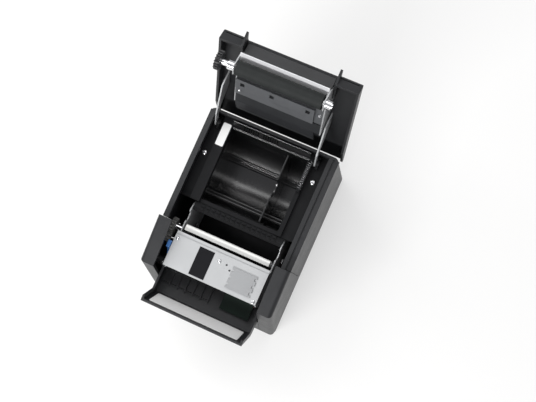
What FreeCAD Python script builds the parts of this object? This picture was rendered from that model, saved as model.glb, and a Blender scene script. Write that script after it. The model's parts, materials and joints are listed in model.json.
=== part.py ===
"""Clamshell receipt printer, modelled with its lid and front cover open.

Millimetres. X runs to the printer's right, Y to its back and Z up. The origin is on the
table, under the middle of the body. Lid and cover pieces are drawn shut and then swung open.
"""
import FreeCAD, Part
import math
import os
import re
import Sketcher

V = FreeCAD.Vector

# Driving sizes. A gap, drop, rise, inset or setback is measured from the piece it names.
SIZES = {
    # Body, base and feet
    "body_width": 145, "body_depth": 196, "wall": 2.6, "seam": 0.4, "corner_radius": 6, "overcut": 1,
    "foot_height": 3, "foot_radius": 7, "foot_inset": 16, "base_height": 24, "floor_thick": 2.5,
    "stand_rise": 2, "stand_width": 8, "stand_inset": 2, "stand_margin": 4,
    "rim_height": 112, "rail_left": 6, "rail_right": 11, "rail_depth": 6,
    "groove_width": 1.8, "groove_depth": 1.5,
    "cheek_thick": 14.5, "cheek_proud": 1.2, "cheek_length": 71, "cheek_setback": 20, "cheek_drop": 8,
    "cheek_round": 4.5, "boss_wall": 2.5, "pin_reach": 6, "pin_float": 1, "panel_gap": 4,
    # Deck, bucket and louvre
    "deck_drop": 16, "deck_thick": 2.5, "deck_setback": 29, "strip_rise": 4,
    "strip_left_width": 11, "strip_right_width": 4.8, "channel_left": 12.4, "channel_right": 23.1,
    "post_thick": 3, "post_margin": 2, "peg_thick": 2.6, "peg_half": 2, "peg_rise": 1.5, "peg_gap": 0.4,
    "screw_radius": 1.5, "screw_head_radius": 3, "screw_head_height": 1.8,
    "screw_left_inset": 46, "screw_right_inset": 31,
    "bucket_front_gap": 4, "bucket_rear_gap": 12, "bucket_clear": 10.4, "bucket_wall": 2,
    "bead_radius": 1.6, "fit_gap": 0.3,
    "divider_inset": 24, "divider_thick": 1.6, "divider_drop": 4, "finger_radius": 11,
    "louvre_gap": 0.5, "louvre_setback": 2.4, "louvre_rise": 8, "louvre_thick": 1.6, "louvre_bead": 0.9,
    "slot_width": 1.1, "slot_pitch": 2.6, "slot_low_margin": 2, "slot_high_margin": 0.6,
    "vent_inset": 12.5, "vent_step": 22,
    # Lid
    "lid_depth": 15, "lid_gap": 1, "lid_hinge_inset": 11, "lid_hinge_drop": 11, "lid_open_angle": 117,
    "lid_round": 3, "lid_rear_rise": 8.3, "lid_rear_run": 26, "ear_gap": 0.3, "ear_recess": 4,
    "ear_groove_drop": 3.6, "ear_groove_width": 1.4, "ear_groove_depth": 1.2, "ear_margin": 3,
    "horn_reach": 8.4, "horn_drop": 1, "horn_rear": 12, "horn_thick": 2.4,
    "chute_depth": 14, "chute_slant": 3.4, "chute_thick": 2.2,
    "sheet": 1.2, "arm_thick": 1.5, "arm_half": 4.5, "arm_neck": 17, "arm_rise": 1, "arm_root": 66,
    "arm_tip": 46, "arm_heel": 52, "arm_heel_rise": 7, "hinge_pin_radius": 2, "turn_gap": 0.05,
    "arm_left_inset": 5.3, "arm_side_gap": 1.8, "hinge_pin_proud": 1,
    # Platen, its bracket and the guides behind it
    "platen_setback": 10.5, "platen_drop": 1, "platen_radius": 7.5, "platen_end_gap": 2.7,
    "platen_shaft_radius": 3, "bearing_radius": 5, "bearing_length": 6.2, "shaft_proud": 1,
    "paper_gap": 0.5, "bracket_gap": 5,
    "yoke_half": 6, "yoke_drop": 5, "yoke_front": 7, "yoke_rear": 9, "yoke_length": 58, "yoke_clear": 1.5,
    "blade_thick": 2, "blade_width": 13.5, "blade_rise": 4, "blade_reach": 3, "blade_bevel": 1.5,
    "bar_setback": 20.5, "bar_width": 22, "bar_step": 13, "bar_step_depth": 0.8, "bar_rise": 2.8,
    "bar_block": 3.4, "bar_flange": 1.6, "bar_end_gap": 8.5, "bar_notch": 4.5, "bar_notch_setback": 4,
    "notch_one": 5.2, "notch_two": 36.4, "notch_three": 74.6,
    "liner_flat": 14, "liner_bow": 14, "liner_tail": 8, "liner_bow_rise": 3.5, "liner_tail_rise": 4,
    "liner_thick": 2, "liner_end_gap": 2,
    # Print mechanism
    "frame_side_gap": 5.8, "frame_drop": 15, "frame_front_inset": 24, "leg_setback": 24,
    "frame_rear_drop": 6, "seat_margin": 9, "nose_depth": 7, "gusset_run": 10, "gusset_drop": 11,
    "window_width": 5, "window_height": 10, "window_rise": 12, "window_inset": 8, "window_step": 20,
    "rail_setback": 14, "rail_fold": 9, "rail_flange": 5, "plate_depth": 17, "plate_length": 30,
    "plate_slant": 7, "wing_depth": 20, "wing_length": 21, "wing_slant": 22,
    "guide_gap": 1.5, "guide_depth": 12, "guide_drop": 0.5, "guide_lead": 4, "guide_nose": 4,
    "tooth_length": 4, "tooth_depth": 2, "tooth_rise": 1.2, "tooth_inset": 8, "tooth_margin": 1,
    "tooth_row_step": 3.5,
    "head_thick": 6.5, "head_rise": 5, "head_depth": 13, "head_chamfer": 1, "head_end_gap": 3,
    "sink_depth": 30, "sink_inset": 0.5, "sink_end_gap": 4, "fin_gap": 2, "fin_depth": 2.5, "fin_inset": 8,
    "fin_low_margin": 9, "fin_high_margin": 4, "pivot_radius": 2, "pivot_rise": 5, "pivot_proud": 1.5,
    "motor_radius": 8, "motor_length": 15, "motor_end_wall": 3,
    "shaft_float": 0.5, "motor_shaft_radius": 1.5, "shaft_hole_gap": 1,
    "knife_motor_inset": 32, "knife_motor_drop": 11, "knife_motor_radius": 7, "knife_motor_length": 18,
    "knife_shaft": 7,
    "lead_radius": 0.7, "lead_gap": 0.2, "lead_drop": 3,
    "gear_module": 1, "gear_thick": 4.8, "gear_inset": 6.7, "gear_float": 0.5, "idler_bore": 2,
    "idler_slope": 31.1, "pinion_slope": 5.4, "axle_float": 0.4, "axle_lip": 1.3,
    "lever_inset": 41, "lever_drop": 7, "lever_thick": 3.8, "lever_gap": 0.8, "lever_length": 20,
    "lever_half": 3.4, "lever_boss": 4, "thumb_reach": 10.5, "thumb_lead": 2.5, "thumb_height": 5,
    "thumb_round": 1.2, "lever_float": 0.4,
    # Front cover and its panel
    "cover_hinge_inset": 28, "cover_hinge_drop": 13, "cover_open_angle": 96, "cover_wall": 2.5,
    "cover_side_gap": 1, "cover_skirt": 12, "cover_lip_gap": 9.5, "cover_round": 6, "cover_pin_radius": 2.5,
    "lug_radius": 6.5, "end_foot": 9, "end_lip": 6, "end_throat": 14, "end_throat_drop": 5, "end_inset": 2,
    "cell_pitch": 9, "cell_depth": 2.4, "cell_thick": 1.2, "cell_low": 4, "cell_step": 14, "cell_top": 12,
    "cell_root": 2,
    "button_radius": 5, "button_place": 36, "button_rise": 25, "button_proud": 0.6, "button_depth": 5.2,
    "button_flange": 1.2, "button_flange_thick": 1, "lens_radius": 2, "lens_place": 22, "lens_proud": 0.9,
    "panel_board_gap": 6.6, "panel_board_thick": 1.6, "panel_board_half": 9, "panel_board_left": 7,
    "panel_board_right": 12, "panel_post_radius": 1.8, "panel_post_inset": 2.5, "panel_post_gap": 0.4,
    # Cutter unit
    "unit_overhang": 0.3, "unit_front_inset": 25.5, "unit_depth": 38.5, "unit_height": 11.7,
    "unit_seat": 0.3, "unit_front_wall": 4, "unit_fold_gap": 1, "ledge_depth": 5, "ledge_drop": 2.2,
    "knife_thick": 1.5, "knife_end_gap": 8.5, "knife_drop": 0.5, "knife_front": 12, "knife_rear": 1,
    "knife_vee": 3, "bed_front": 8, "bed_rear": 2,
    "cap_inset": 8.5, "cap_width": 28, "cap_front": 5, "cap_depth": 22, "cap_notch": 2.4,
    "cap_notch_depth": 3, "cap_notch_pitch": 7.5, "cap_notch_inset": 2,
    "film_place": 24, "film_width": 17, "film_margin": 2, "film_thick": 0.3, "pilot_radius": 1.1,
    "pilot_place": 9, "pilot_step": 5, "pilot_front": 22, "pilot_rise": 4,
    # Rear board, sockets and switch
    "board_thick": 1.6, "board_inset": 9.9, "board_gap": 4,
    "socket_height": 11, "socket_depth": 15, "socket_wall": 1.6, "socket_mouth": 10,
    "inlet_place": 44, "inlet_width": 15, "data_place": 10, "data_width": 13,
    "drawer_place": 24, "drawer_width": 16,
    "switch_inset": 21.9, "switch_width": 11, "switch_height": 16, "switch_rise": 20, "switch_wall": 1.2,
    "switch_depth": 13, "switch_rim": 1.2, "switch_rim_thick": 1, "switch_recess": 10, "switch_pivot": 3,
    "rocker_gap": 1.2, "rocker_pin": 1.2, "rocker_base": 5, "rocker_low": 0.4, "rocker_crown": 0.5,
    "rocker_high": 1.6, "rocker_back": 3.6, "rocker_heel": 6,
    # Lid spring
    "spring_radius": 2.8, "spring_wire": 0.5, "spring_length": 30, "spring_setback": 2,
    # Counts
    "pinion_teeth": 10, "idler_teeth": 16, "platen_teeth": 18,
}

# Places worked out from the driving sizes.
PLACES = {
    "half_width": "body_width / 2", "inside": "half_width - wall",
    "front": "-body_depth / 2", "back": "body_depth / 2",
    "cheek_rear": "front + cheek_length", "cheek_in": "half_width - cheek_thick",
    "cheek_out": "half_width + cheek_proud", "cheek_rear_height": "rim_height + lid_depth",
    "cheek_front_height": "cheek_rear_height - cheek_drop", "cheek_low": "base_height + seam",
    "lean": "cheek_setback / (cheek_front_height - base_height)",
    "slope": "cheek_drop / (cheek_length - cheek_setback)",
    "frame_low": "base_height + stand_rise", "board_top": "frame_low + board_thick",
    "deck_height": "rim_height - deck_drop", "deck_low": "deck_height - deck_thick",
    "deck_front": "cheek_rear + deck_setback", "strip_top": "deck_height + strip_rise",
    "bucket_left": "inside - channel_left - strip_left_width",
    "bucket_right": "inside - channel_right - strip_right_width",
    "bucket_front": "deck_front + bucket_front_gap", "bucket_rear": "back - bucket_rear_gap",
    "bucket_radius": "(bucket_rear - bucket_front) / 2", "bucket_y": "(bucket_rear + bucket_front) / 2",
    "bucket_z": "board_top + bucket_clear + bucket_wall + bucket_radius",
    "divider_place": "bucket_right - divider_inset", "divider_height": "deck_height - divider_drop",
    "lid_top": "cheek_rear_height", "lid_low": "rim_height + lid_gap", "lid_under": "lid_top - wall",
    "lid_front": "cheek_rear + seam", "lid_rear": "back - lid_gap",
    "lid_y": "back - lid_hinge_inset", "lid_z": "rim_height - lid_hinge_drop",
    "frame_half": "cheek_in - frame_side_gap", "frame_in": "frame_half - sheet",
    "frame_top": "rim_height - frame_drop", "frame_front": "front + frame_front_inset",
    "frame_rear": "deck_front - seam", "leg_front": "frame_front + leg_setback",
    "bracket_half": "frame_half - bracket_gap", "bracket_in": "bracket_half - sheet",
    "ear_in": "bracket_half + ear_gap",
    "platen_y": "cheek_rear + platen_setback", "platen_z": "frame_top - platen_drop",
    "platen_half": "bracket_half - platen_end_gap",
    "arm_left_place": "inside - arm_left_inset",
    "arm_right_place": "bucket_right + strip_right_width + arm_side_gap",
    "post_right": "arm_right_place + arm_thick + seam", "post_left": "arm_left_place - arm_thick - seam",
    "head_rear": "platen_y - platen_radius - paper_gap", "head_front": "head_rear - head_thick",
    "head_top": "platen_z + head_rise", "head_low": "head_top - head_depth",
    "pivot_y": "head_front + head_thick / 2", "pivot_z": "head_low - sink_depth + pivot_rise",
    "blade_low": "head_top + blade_rise", "blade_front": "head_rear - blade_reach",
    "bar_front": "platen_y + bar_setback", "bar_rear": "bar_front + bar_width",
    "bar_low": "platen_z + bar_rise", "bar_top": "bar_low + bar_block",
    "yoke_low": "strip_top + yoke_clear", "liner_low": "yoke_low - fit_gap",
    "platen_pitch": "gear_module * platen_teeth / 2", "idler_pitch": "gear_module * idler_teeth / 2",
    "pinion_pitch": "gear_module * pinion_teeth / 2",
    "idler_y": "platen_y - (platen_pitch + idler_pitch) * cos(idler_slope)",
    "idler_z": "platen_z - (platen_pitch + idler_pitch) * sin(idler_slope)",
    "feed_y": "idler_y - (idler_pitch + pinion_pitch) * cos(pinion_slope)",
    "feed_z": "idler_z - (idler_pitch + pinion_pitch) * sin(pinion_slope)",
    "gear_place": "half_width - gear_inset", "gear_in": "gear_place - gear_thick",
    "knife_motor_y": "front + knife_motor_inset", "knife_motor_z": "frame_top - knife_motor_drop",
    "lever_y": "front + lever_inset", "lever_z": "frame_top - lever_drop",
    "lever_tip": "lever_z + lever_length",
    "cover_y": "front + cover_hinge_inset", "cover_z": "frame_top - cover_hinge_drop",
    "nose_low": "cover_z - nose_depth",
    "cover_half": "cheek_in - cover_side_gap", "cover_lip": "cheek_rear - cover_lip_gap",
    "cover_top_front": "front + cheek_setback", "cover_low": "cover_z - cover_skirt",
    "cover_low_front": "front + lean * (cover_low - base_height)",
    "cover_lip_height": "cheek_front_height + slope * (cover_lip - cover_top_front)",
    "corner_run": "cover_wall * (1 - lean) / (1 - lean * slope)",
    "corner_drop": "cover_wall - slope * corner_run",
    "panel_top": "cover_low - panel_gap", "button_height": "cover_low + button_rise",
    "panel_front": "front + lean * (button_height - base_height)",
    "unit_low": "frame_top + unit_seat", "unit_top": "unit_low + unit_height",
    "unit_roof": "unit_top - sheet",
    "unit_half": "frame_half + unit_overhang", "unit_front": "front + unit_front_inset",
    "unit_rear": "unit_front + unit_depth", "knife_half": "unit_half - knife_end_gap",
    "knife_top": "blade_low - knife_drop", "rail_y": "unit_front + rail_setback",
    "cap_right": "unit_half - cap_inset", "cap_left": "cap_right - cap_width",
    "switch_place": "inside - switch_inset", "switch_low": "base_height + switch_rise",
    "spring_x": "bucket_right + strip_right_width / 2",
    "spring_start": "lid_y - spring_length - spring_setback",
    "spring_z": "strip_top + spring_radius + spring_wire + fit_gap",
}

BEAD_ANGLES = (-47, -40, 21, 28)
VENT_GROUPS = 2
VENT_SLOTS = 7
GUIDE_TEETH = 15
SINK_FINS = 15
COVER_CELLS = 6
SPRING_TURNS = 9
SPRING_SIDES = 4
LEAD_SIDES = 6

# Each feed gear's axis, as two places, and its count of teeth.
GEARS = {
    "feed_pinion": ("feed_y", "feed_z", "pinion_teeth"),
    "idler_gear": ("idler_y", "idler_z", "idler_teeth"),
    "platen_gear": ("platen_y", "platen_z", "platen_teeth"),
}

DECK_SCREWS = (
    ("-(inside + bucket_left + strip_left_width) / 2", "back - screw_left_inset"),
    ("(inside - rail_right + wall + bucket_right + strip_right_width) / 2", "back - screw_right_inset"),
)

SOCKETS = {
    "power_inlet": ("-inlet_place", "inlet_width"),
    "data_socket": ("-data_place", "data_width"),
    "drawer_socket": ("drawer_place", "drawer_width"),
}

# Height above the pitch circle, in modules, and half angle, in tooth pitches, of a tooth's corners.
TOOTH_FLANKS = ((-1.15, -0.31), (0, -0.215), (0.85, -0.1), (0.85, 0.1), (0, 0.215), (-1.15, 0.31))

doc = FreeCAD.newDocument("receipt_printer")
sheet = doc.addObject("Spreadsheet::Sheet", "Dims")
for row, (alias, value) in enumerate(list(SIZES.items()) + list(PLACES.items()), start=1):
    sheet.set("A%d" % row, alias)
    sheet.set("B%d" % row, str(value) if alias in SIZES else "=" + value)
    sheet.setAlias("B%d" % row, alias)
doc.recompute()

nodes = []


def size(alias):
    """The value of one cell, for shapes that code works out."""
    return float(sheet.get(alias))


def link(text):
    """An expression on the sheet's aliases, as the document writes it."""
    return re.sub(r"\b(?!sin\b|cos\b|tan\b|sqrt\b)([a-z][a-z_]*[a-z])\b", r"Dims.\1", str(text))


def new_body(label):
    body = doc.addObject("PartDesign::Body", label)
    body.Label = label
    nodes.append(body)
    return body


def origin_item(body, role):
    return next(item for item in body.Origin.OriginFeatures if item.Role == role)


def new_sketch(body, plane, low, high):
    """A sketch at the end of the span from which features run along the plane's normal."""
    sketch = body.newObject("Sketcher::SketchObject", body.Name + "_sketch")
    sketch.AttachmentSupport = [(origin_item(body, plane), "")]
    sketch.MapMode = "FlatFace"
    start = "-(%s)" % high if plane == "XZ_Plane" else low
    sketch.setExpression("AttachmentOffset.Base.z", link(start))
    return sketch


def bind_point(sketch, geometry, corner, across, up, guess):
    for kind, text, start in (("DistanceX", across, guess.x), ("DistanceY", up, guess.y)):
        index = sketch.addConstraint(Sketcher.Constraint(kind, -1, 1, geometry, corner, start))
        sketch.setExpression("Constraints[%d]" % index, link(text))


def outline(body, plane, low, high, corners):
    """A closed polygon whose corners are expressions."""
    sketch = new_sketch(body, plane, low, high)
    count = len(corners)
    turns = [2 * math.pi * i / count for i in range(count)]
    ring = [V(10 * math.cos(turn), 10 * math.sin(turn), 0) for turn in turns]
    lines = [Part.LineSegment(ring[i], ring[(i + 1) % count]) for i in range(count)]
    sketch.addGeometry(lines, False)
    for i in range(count):
        sketch.addConstraint(Sketcher.Constraint("Coincident", i, 2, (i + 1) % count, 1))
    for i, (across, up) in enumerate(corners):
        bind_point(sketch, i, 1, across, up, ring[i])
    return sketch


def circle(body, plane, low, high, centre, radius):
    sketch = new_sketch(body, plane, low, high)
    sketch.addGeometry(Part.Circle(V(1, 1, 0), V(0, 0, 1), 5), False)
    bind_point(sketch, 0, 3, centre[0], centre[1], V(1, 1, 0))
    index = sketch.addConstraint(Sketcher.Constraint("Radius", 0, 5))
    sketch.setExpression("Constraints[%d]" % index, link(radius))
    return sketch


def box_corners(across, up):
    return [(across[0], up[0]), (across[1], up[0]), (across[1], up[1]), (across[0], up[1])]


def feature(body, kind, sketch, low, high):
    made = body.newObject("PartDesign::" + kind, body.Name + "_" + kind.lower())
    made.Profile = sketch
    made.setExpression("Length", link("(%s) - (%s)" % (high, low)))
    if kind == "Pocket":
        made.Reversed = True
    body.Tip = made
    return made


def pad(body, plane, low, high, corners):
    return feature(body, "Pad", outline(body, plane, low, high, corners), low, high)


def cut(body, plane, low, high, corners):
    return feature(body, "Pocket", outline(body, plane, low, high, corners), low, high)


def pad_round(body, plane, low, high, centre, radius):
    return feature(body, "Pad", circle(body, plane, low, high, centre, radius), low, high)


def cut_round(body, plane, low, high, centre, radius):
    return feature(body, "Pocket", circle(body, plane, low, high, centre, radius), low, high)


def repeat(body, made, role, step, count):
    """Copies of one feature in a row along an axis of the body's origin."""
    pattern = body.newObject("PartDesign::LinearPattern", body.Name + "_row")
    pattern.Originals = [made]
    pattern.Direction = (origin_item(body, role), [""])
    pattern.setExpression("Length", link("(%s) * %d" % (step, count - 1)))
    pattern.Occurrences = count
    body.Tip = pattern
    return pattern


def fillet(body, radius, chosen):
    """Rounds the edges of the body so far that the test picks by their middle and direction."""
    doc.recompute()
    base = body.Tip
    names = []
    for number, edge in enumerate(base.Shape.Edges, start=1):
        first, last = edge.ParameterRange
        middle = edge.valueAt((first + last) / 2)
        along = edge.tangentAt((first + last) / 2)
        if chosen(middle, along):
            names.append("Edge%d" % number)
    made = body.newObject("PartDesign::Fillet", body.Name + "_fillet")
    made.Base = (base, names)
    made.setExpression("Radius", link(radius))
    body.Tip = made
    return made


def near(first, second):
    return abs(first - second) < 0.01


def swing(item, axis_y, axis_z, angle):
    """Turns a node about a hinge line along X, from the shut place to the open one."""
    item.Placement = FreeCAD.Placement(V(0, 0, 0), FreeCAD.Rotation(V(1, 0, 0), 45))
    item.setExpression("Placement.Rotation.Angle", link(angle))
    shift_y = "{y} - {y} * cos({a}) + {z} * sin({a})"
    shift_z = "{z} - {y} * sin({a}) - {z} * cos({a})"
    terms = {"y": axis_y, "z": axis_z, "a": angle}
    item.setExpression("Placement.Base.y", link(shift_y.format(**terms)))
    item.setExpression("Placement.Base.z", link(shift_z.format(**terms)))


def open_lid(*items):
    for item in items:
        swing(item, "lid_y", "lid_z", "(-lid_open_angle)")


def open_cover(*items):
    for item in items:
        swing(item, "cover_y", "cover_z", "cover_open_angle")


def base_tray():
    body = new_body("base_tray")
    wide = ("-half_width", "half_width")
    pad(body, "XY_Plane", "foot_height", "base_height", box_corners(wide, ("front", "back")))
    fillet(body, "corner_radius", lambda middle, along: near(abs(along.z), 1))
    inner = box_corners(("-inside", "inside"), ("front + wall", "back - wall"))
    cut(body, "XY_Plane", "foot_height + floor_thick", "base_height", inner)
    out = "frame_in - stand_inset"
    length = ("leg_front + stand_margin", "back - wall - stand_margin")
    for stand in ((out + " - stand_width", out), ("-(%s)" % out, "stand_width - (%s)" % out)):
        pad(body, "XY_Plane", "foot_height", "frame_low", box_corners(stand, length))


def rubber_feet():
    feet = []
    for across in ("-1", "1"):
        for along in ("-1", "1"):
            foot = doc.addObject("Part::Cylinder", "foot")
            foot.setExpression("Radius", link("foot_radius"))
            foot.setExpression("Height", link("foot_height"))
            foot.setExpression("Placement.Base.x", link(across + " * (half_width - foot_inset)"))
            foot.setExpression("Placement.Base.y", link(along + " * (back - foot_inset)"))
            feet.append(foot)
    group = doc.addObject("Part::MultiFuse", "rubber_feet")
    group.Shapes = feet
    nodes.append(group)


def main_case():
    """The walls round the deck, with rails on the rim and notches for what shows at the rear."""
    body = new_body("main_case")
    case_front = "cheek_rear + seam"
    outer = box_corners(("-half_width", "half_width"), (case_front, "back"))
    pad(body, "XY_Plane", "cheek_low", "rim_height", outer)
    rear = size("back")
    fillet(body, "corner_radius", lambda middle, along: near(abs(along.z), 1) and near(middle.y, rear))
    inner = box_corners(("-inside", "inside"), ("cheek_rear - overcut", "back - wall"))
    cut(body, "XY_Plane", "base_height", "rim_height", inner)
    rail_span = (case_front, "back - wall")
    rail_low = "rim_height - rail_depth"
    for low, high in (("-half_width", "-half_width + rail_left"), ("half_width - rail_right", "half_width")):
        pad(body, "XY_Plane", rail_low, "rim_height", box_corners((low, high), rail_span))
    groove_x = "half_width - rail_right / 2"
    groove = (groove_x + " - groove_width / 2", groove_x + " + groove_width / 2")
    cut(body, "XY_Plane", "rim_height - groove_depth", "rim_height", box_corners(groove, rail_span))
    through = ("back - wall - overcut", "back + overcut")
    for place, width in SOCKETS.values():
        across = (place + " - fit_gap", "%s + %s + fit_gap" % (place, width))
        up = ("base_height", "board_top + socket_height + fit_gap")
        cut(body, "XZ_Plane", through[0], through[1], box_corners(across, up))
    across = ("switch_place - fit_gap", "switch_place + switch_width + fit_gap")
    up = ("switch_low - fit_gap", "switch_low + switch_height + fit_gap")
    cut(body, "XZ_Plane", through[0], through[1], box_corners(across, up))


def cheek(label, sign):
    """A hollow front pillar, open towards the mechanism, with the cover's hinge boss in it."""
    body = new_body(label)
    outer = [("cheek_rear", "cheek_low"), ("front", "cheek_low"), ("cover_top_front", "cheek_front_height"),
             ("cheek_rear", "cheek_rear_height")]
    span = ("cheek_in", "cheek_out") if sign > 0 else ("-cheek_out", "-cheek_in")
    pad(body, "YZ_Plane", span[0], span[1], outer)
    side = sign * size("cheek_out")
    floor = size("cheek_low")
    rear = size("cheek_rear")

    def outer_edge(middle, along):
        return near(middle.x, side) and not near(middle.z, floor) and not near(middle.y, rear)

    fillet(body, "cheek_round", outer_edge)
    below = "cheek_low - overcut"
    inner = [("cheek_rear + overcut", below), ("front + wall", below), ("front + wall", "cheek_low"),
             ("cover_top_front + wall", "cheek_front_height - wall"),
             ("cheek_rear + overcut", "cheek_rear_height - wall")]
    shell = ("cheek_in - overcut", "cheek_out - wall")
    if sign < 0:
        shell = ("wall - cheek_out", "overcut - cheek_in")
    cut(body, "YZ_Plane", shell[0], shell[1], inner)
    hinge = ("cover_y", "cover_z")
    boss = ("cheek_in", "cheek_out - wall") if sign > 0 else ("wall - cheek_out", "-cheek_in")
    pad_round(body, "YZ_Plane", boss[0], boss[1], hinge, "cover_pin_radius + boss_wall")
    bore_end = "cheek_in + pin_reach + pin_float"
    bore = ("cheek_in", bore_end) if sign > 0 else ("-(%s)" % bore_end, "-cheek_in")
    cut_round(body, "YZ_Plane", bore[0], bore[1], hinge, "cover_pin_radius + turn_gap")


def front_panel():
    body = new_body("front_panel")
    face = "front + lean * (panel_top - base_height)"
    profile = [("front", "cheek_low"), ("front + wall", "cheek_low"), (face + " + wall", "panel_top"),
               (face, "panel_top")]
    pad(body, "YZ_Plane", "-cheek_in + seam", "cheek_in - seam", profile)


def top_deck():
    """The deck with its raised strips, the hinge posts and the pegs that hold the spring."""
    body = new_body("top_deck")
    wide = ("-inside + seam / 2", "inside - seam / 2")
    deep = ("deck_front", "back - wall - seam / 2")
    pad(body, "XY_Plane", "deck_low", "deck_height", box_corners(wide, deep))
    left = ("-bucket_left - strip_left_width", "-bucket_left")
    right = ("bucket_right", "bucket_right + strip_right_width")
    for strip in (left, right):
        pad(body, "XY_Plane", "deck_height", "strip_top", box_corners(strip, deep))
    hole = (("-bucket_left", "bucket_right"), ("bucket_front", "bucket_rear"))
    cut(body, "XY_Plane", "deck_low", "deck_height", box_corners(*hole))
    lid_line = ("lid_y", "lid_z")
    foot = ("lid_y - arm_half - post_margin", "lid_y + arm_half + post_margin")
    for low, high in (("-post_left", "-post_left + post_thick"), ("post_right", "post_right + post_thick")):
        pad(body, "YZ_Plane", low, high, box_corners(foot, ("deck_height", "lid_z")))
        pad_round(body, "YZ_Plane", low, high, lid_line, "arm_half")
        cut_round(body, "YZ_Plane", low, high, lid_line, "hinge_pin_radius + turn_gap")
    for end in ("spring_start - peg_gap - peg_thick", "spring_start + spring_length + peg_gap"):
        peg = box_corners(("spring_x - peg_half", "spring_x + peg_half"), (end, end + " + peg_thick"))
        pad(body, "XY_Plane", "strip_top", "spring_z + peg_rise", peg)
    for across, along in DECK_SCREWS:
        cut_round(body, "XY_Plane", "deck_low", "deck_height", (across, along), "screw_radius")


def paper_bucket():
    """A half-round trough with closed ends and moulded beads for the paper roll to ride on."""
    body = new_body("paper_bucket")
    outer = ("-bucket_left - bucket_wall", "bucket_right + bucket_wall")
    inner = ("-bucket_left", "bucket_right")
    centre = ("bucket_y", "bucket_z")
    pad_round(body, "YZ_Plane", outer[0], outer[1], centre, "bucket_radius + bucket_wall")
    wide = ("bucket_front - bucket_wall", "bucket_rear + bucket_wall")
    pad(body, "YZ_Plane", outer[0], outer[1], box_corners(wide, ("bucket_z", "deck_low")))
    above = box_corners(wide, ("deck_low", "bucket_z + bucket_radius + 2 * bucket_wall"))
    cut(body, "YZ_Plane", outer[0], outer[1], above)
    cut_round(body, "YZ_Plane", inner[0], inner[1], centre, "bucket_radius")
    open_box = box_corners(("bucket_front", "bucket_rear"), ("bucket_z", "deck_low"))
    cut(body, "YZ_Plane", inner[0], inner[1], open_box)
    for angle in BEAD_ANGLES:
        bead = ("bucket_y + bucket_radius * sin(%d)" % angle, "bucket_z - bucket_radius * cos(%d)" % angle)
        pad_round(body, "YZ_Plane", inner[0], inner[1], bead, "bead_radius")


def paper_divider():
    """A thin upright plate that narrows the bucket for slimmer rolls."""
    body = new_body("paper_divider")
    reach = "(bucket_radius - bead_radius - fit_gap)"
    span = ("divider_place", "divider_place + divider_thick")
    pad_round(body, "YZ_Plane", span[0], span[1], ("bucket_y", "bucket_z"), reach)
    wide = ("bucket_y - " + reach, "bucket_y + " + reach)
    above = box_corners(("bucket_front", "bucket_rear"), ("bucket_z", "bucket_z + bucket_radius"))
    cut(body, "YZ_Plane", span[0], span[1], above)
    pad(body, "YZ_Plane", span[0], span[1], box_corners(wide, ("bucket_z", "divider_height")))
    cut_round(body, "YZ_Plane", span[0], span[1], ("bucket_y", "divider_height"), "finger_radius")


def rear_louvre():
    """The sloping strip behind the bucket, with two groups of slots and a bead on each edge."""
    body = new_body("rear_louvre")
    low_y = "bucket_rear + louvre_gap"
    high_y = "back - wall - louvre_setback"
    low_z = "deck_height"
    high_z = "deck_height + louvre_rise"
    profile = [(low_y, low_z), (low_y + " + louvre_thick", low_z), (high_y + " + louvre_thick", high_z),
               (high_y, high_z)]
    pad(body, "YZ_Plane", "-bucket_left", "bucket_right", profile)
    for group in range(VENT_GROUPS):
        left = "vent_inset - bucket_left + %d * vent_step" % group
        slot = box_corners((left, left + " + slot_width"),
                           (low_y + " + slot_low_margin", high_y + " - slot_high_margin"))
        slots = cut(body, "XY_Plane", low_z, high_z, slot)
        repeat(body, slots, "X_Axis", "slot_pitch", VENT_SLOTS)
    middle = " + louvre_thick / 2"
    for centre in ((low_y + middle, low_z + " + louvre_bead"), (high_y + middle, high_z)):
        pad_round(body, "YZ_Plane", "-bucket_left", "bucket_right", centre, "louvre_bead")


def deck_screws():
    """Two pan-head screws through the sunk panels beside the bucket."""
    screws = []
    for across, along in DECK_SCREWS:
        pieces = (("screw_head", "screw_head_radius", "deck_height", "screw_head_height"),
                  ("screw_shank", "screw_radius", "deck_low", "deck_thick"))
        for name, radius, low, height in pieces:
            piece = doc.addObject("Part::Cylinder", name)
            piece.setExpression("Radius", link(radius))
            piece.setExpression("Height", link(height))
            piece.setExpression("Placement.Base.x", link(across))
            piece.setExpression("Placement.Base.y", link(along))
            piece.setExpression("Placement.Base.z", link(low))
            screws.append(piece)
    group = doc.addObject("Part::MultiFuse", "deck_screws")
    group.Shapes = screws
    nodes.append(group)


def paper_guide():
    """The ribbed ramp that leads the paper from the bucket to the print head."""
    body = new_body("paper_guide")
    nose = "platen_y + platen_radius + guide_gap"
    low = "platen_z - guide_depth"
    top = "platen_z - guide_drop"
    profile = [(nose, low), ("frame_rear", low), ("frame_rear", top), (nose + " + guide_lead", top),
               (nose, "platen_z - guide_nose")]
    pad(body, "YZ_Plane", "-frame_in", "frame_in", profile)
    first = "tooth_inset - frame_in"
    step = "2 * (frame_in - tooth_inset) / %d - tooth_length / %d" % (GUIDE_TEETH - 1, GUIDE_TEETH - 1)
    for row in ("tooth_margin", "tooth_margin + tooth_row_step"):
        deep = ("frame_rear - (%s) - tooth_depth" % row, "frame_rear - (%s)" % row)
        tooth = box_corners((first, first + " + tooth_length"), deep)
        made = pad(body, "XY_Plane", low, top + " + tooth_rise", tooth)
        repeat(body, made, "X_Axis", step, GUIDE_TEETH)


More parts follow.
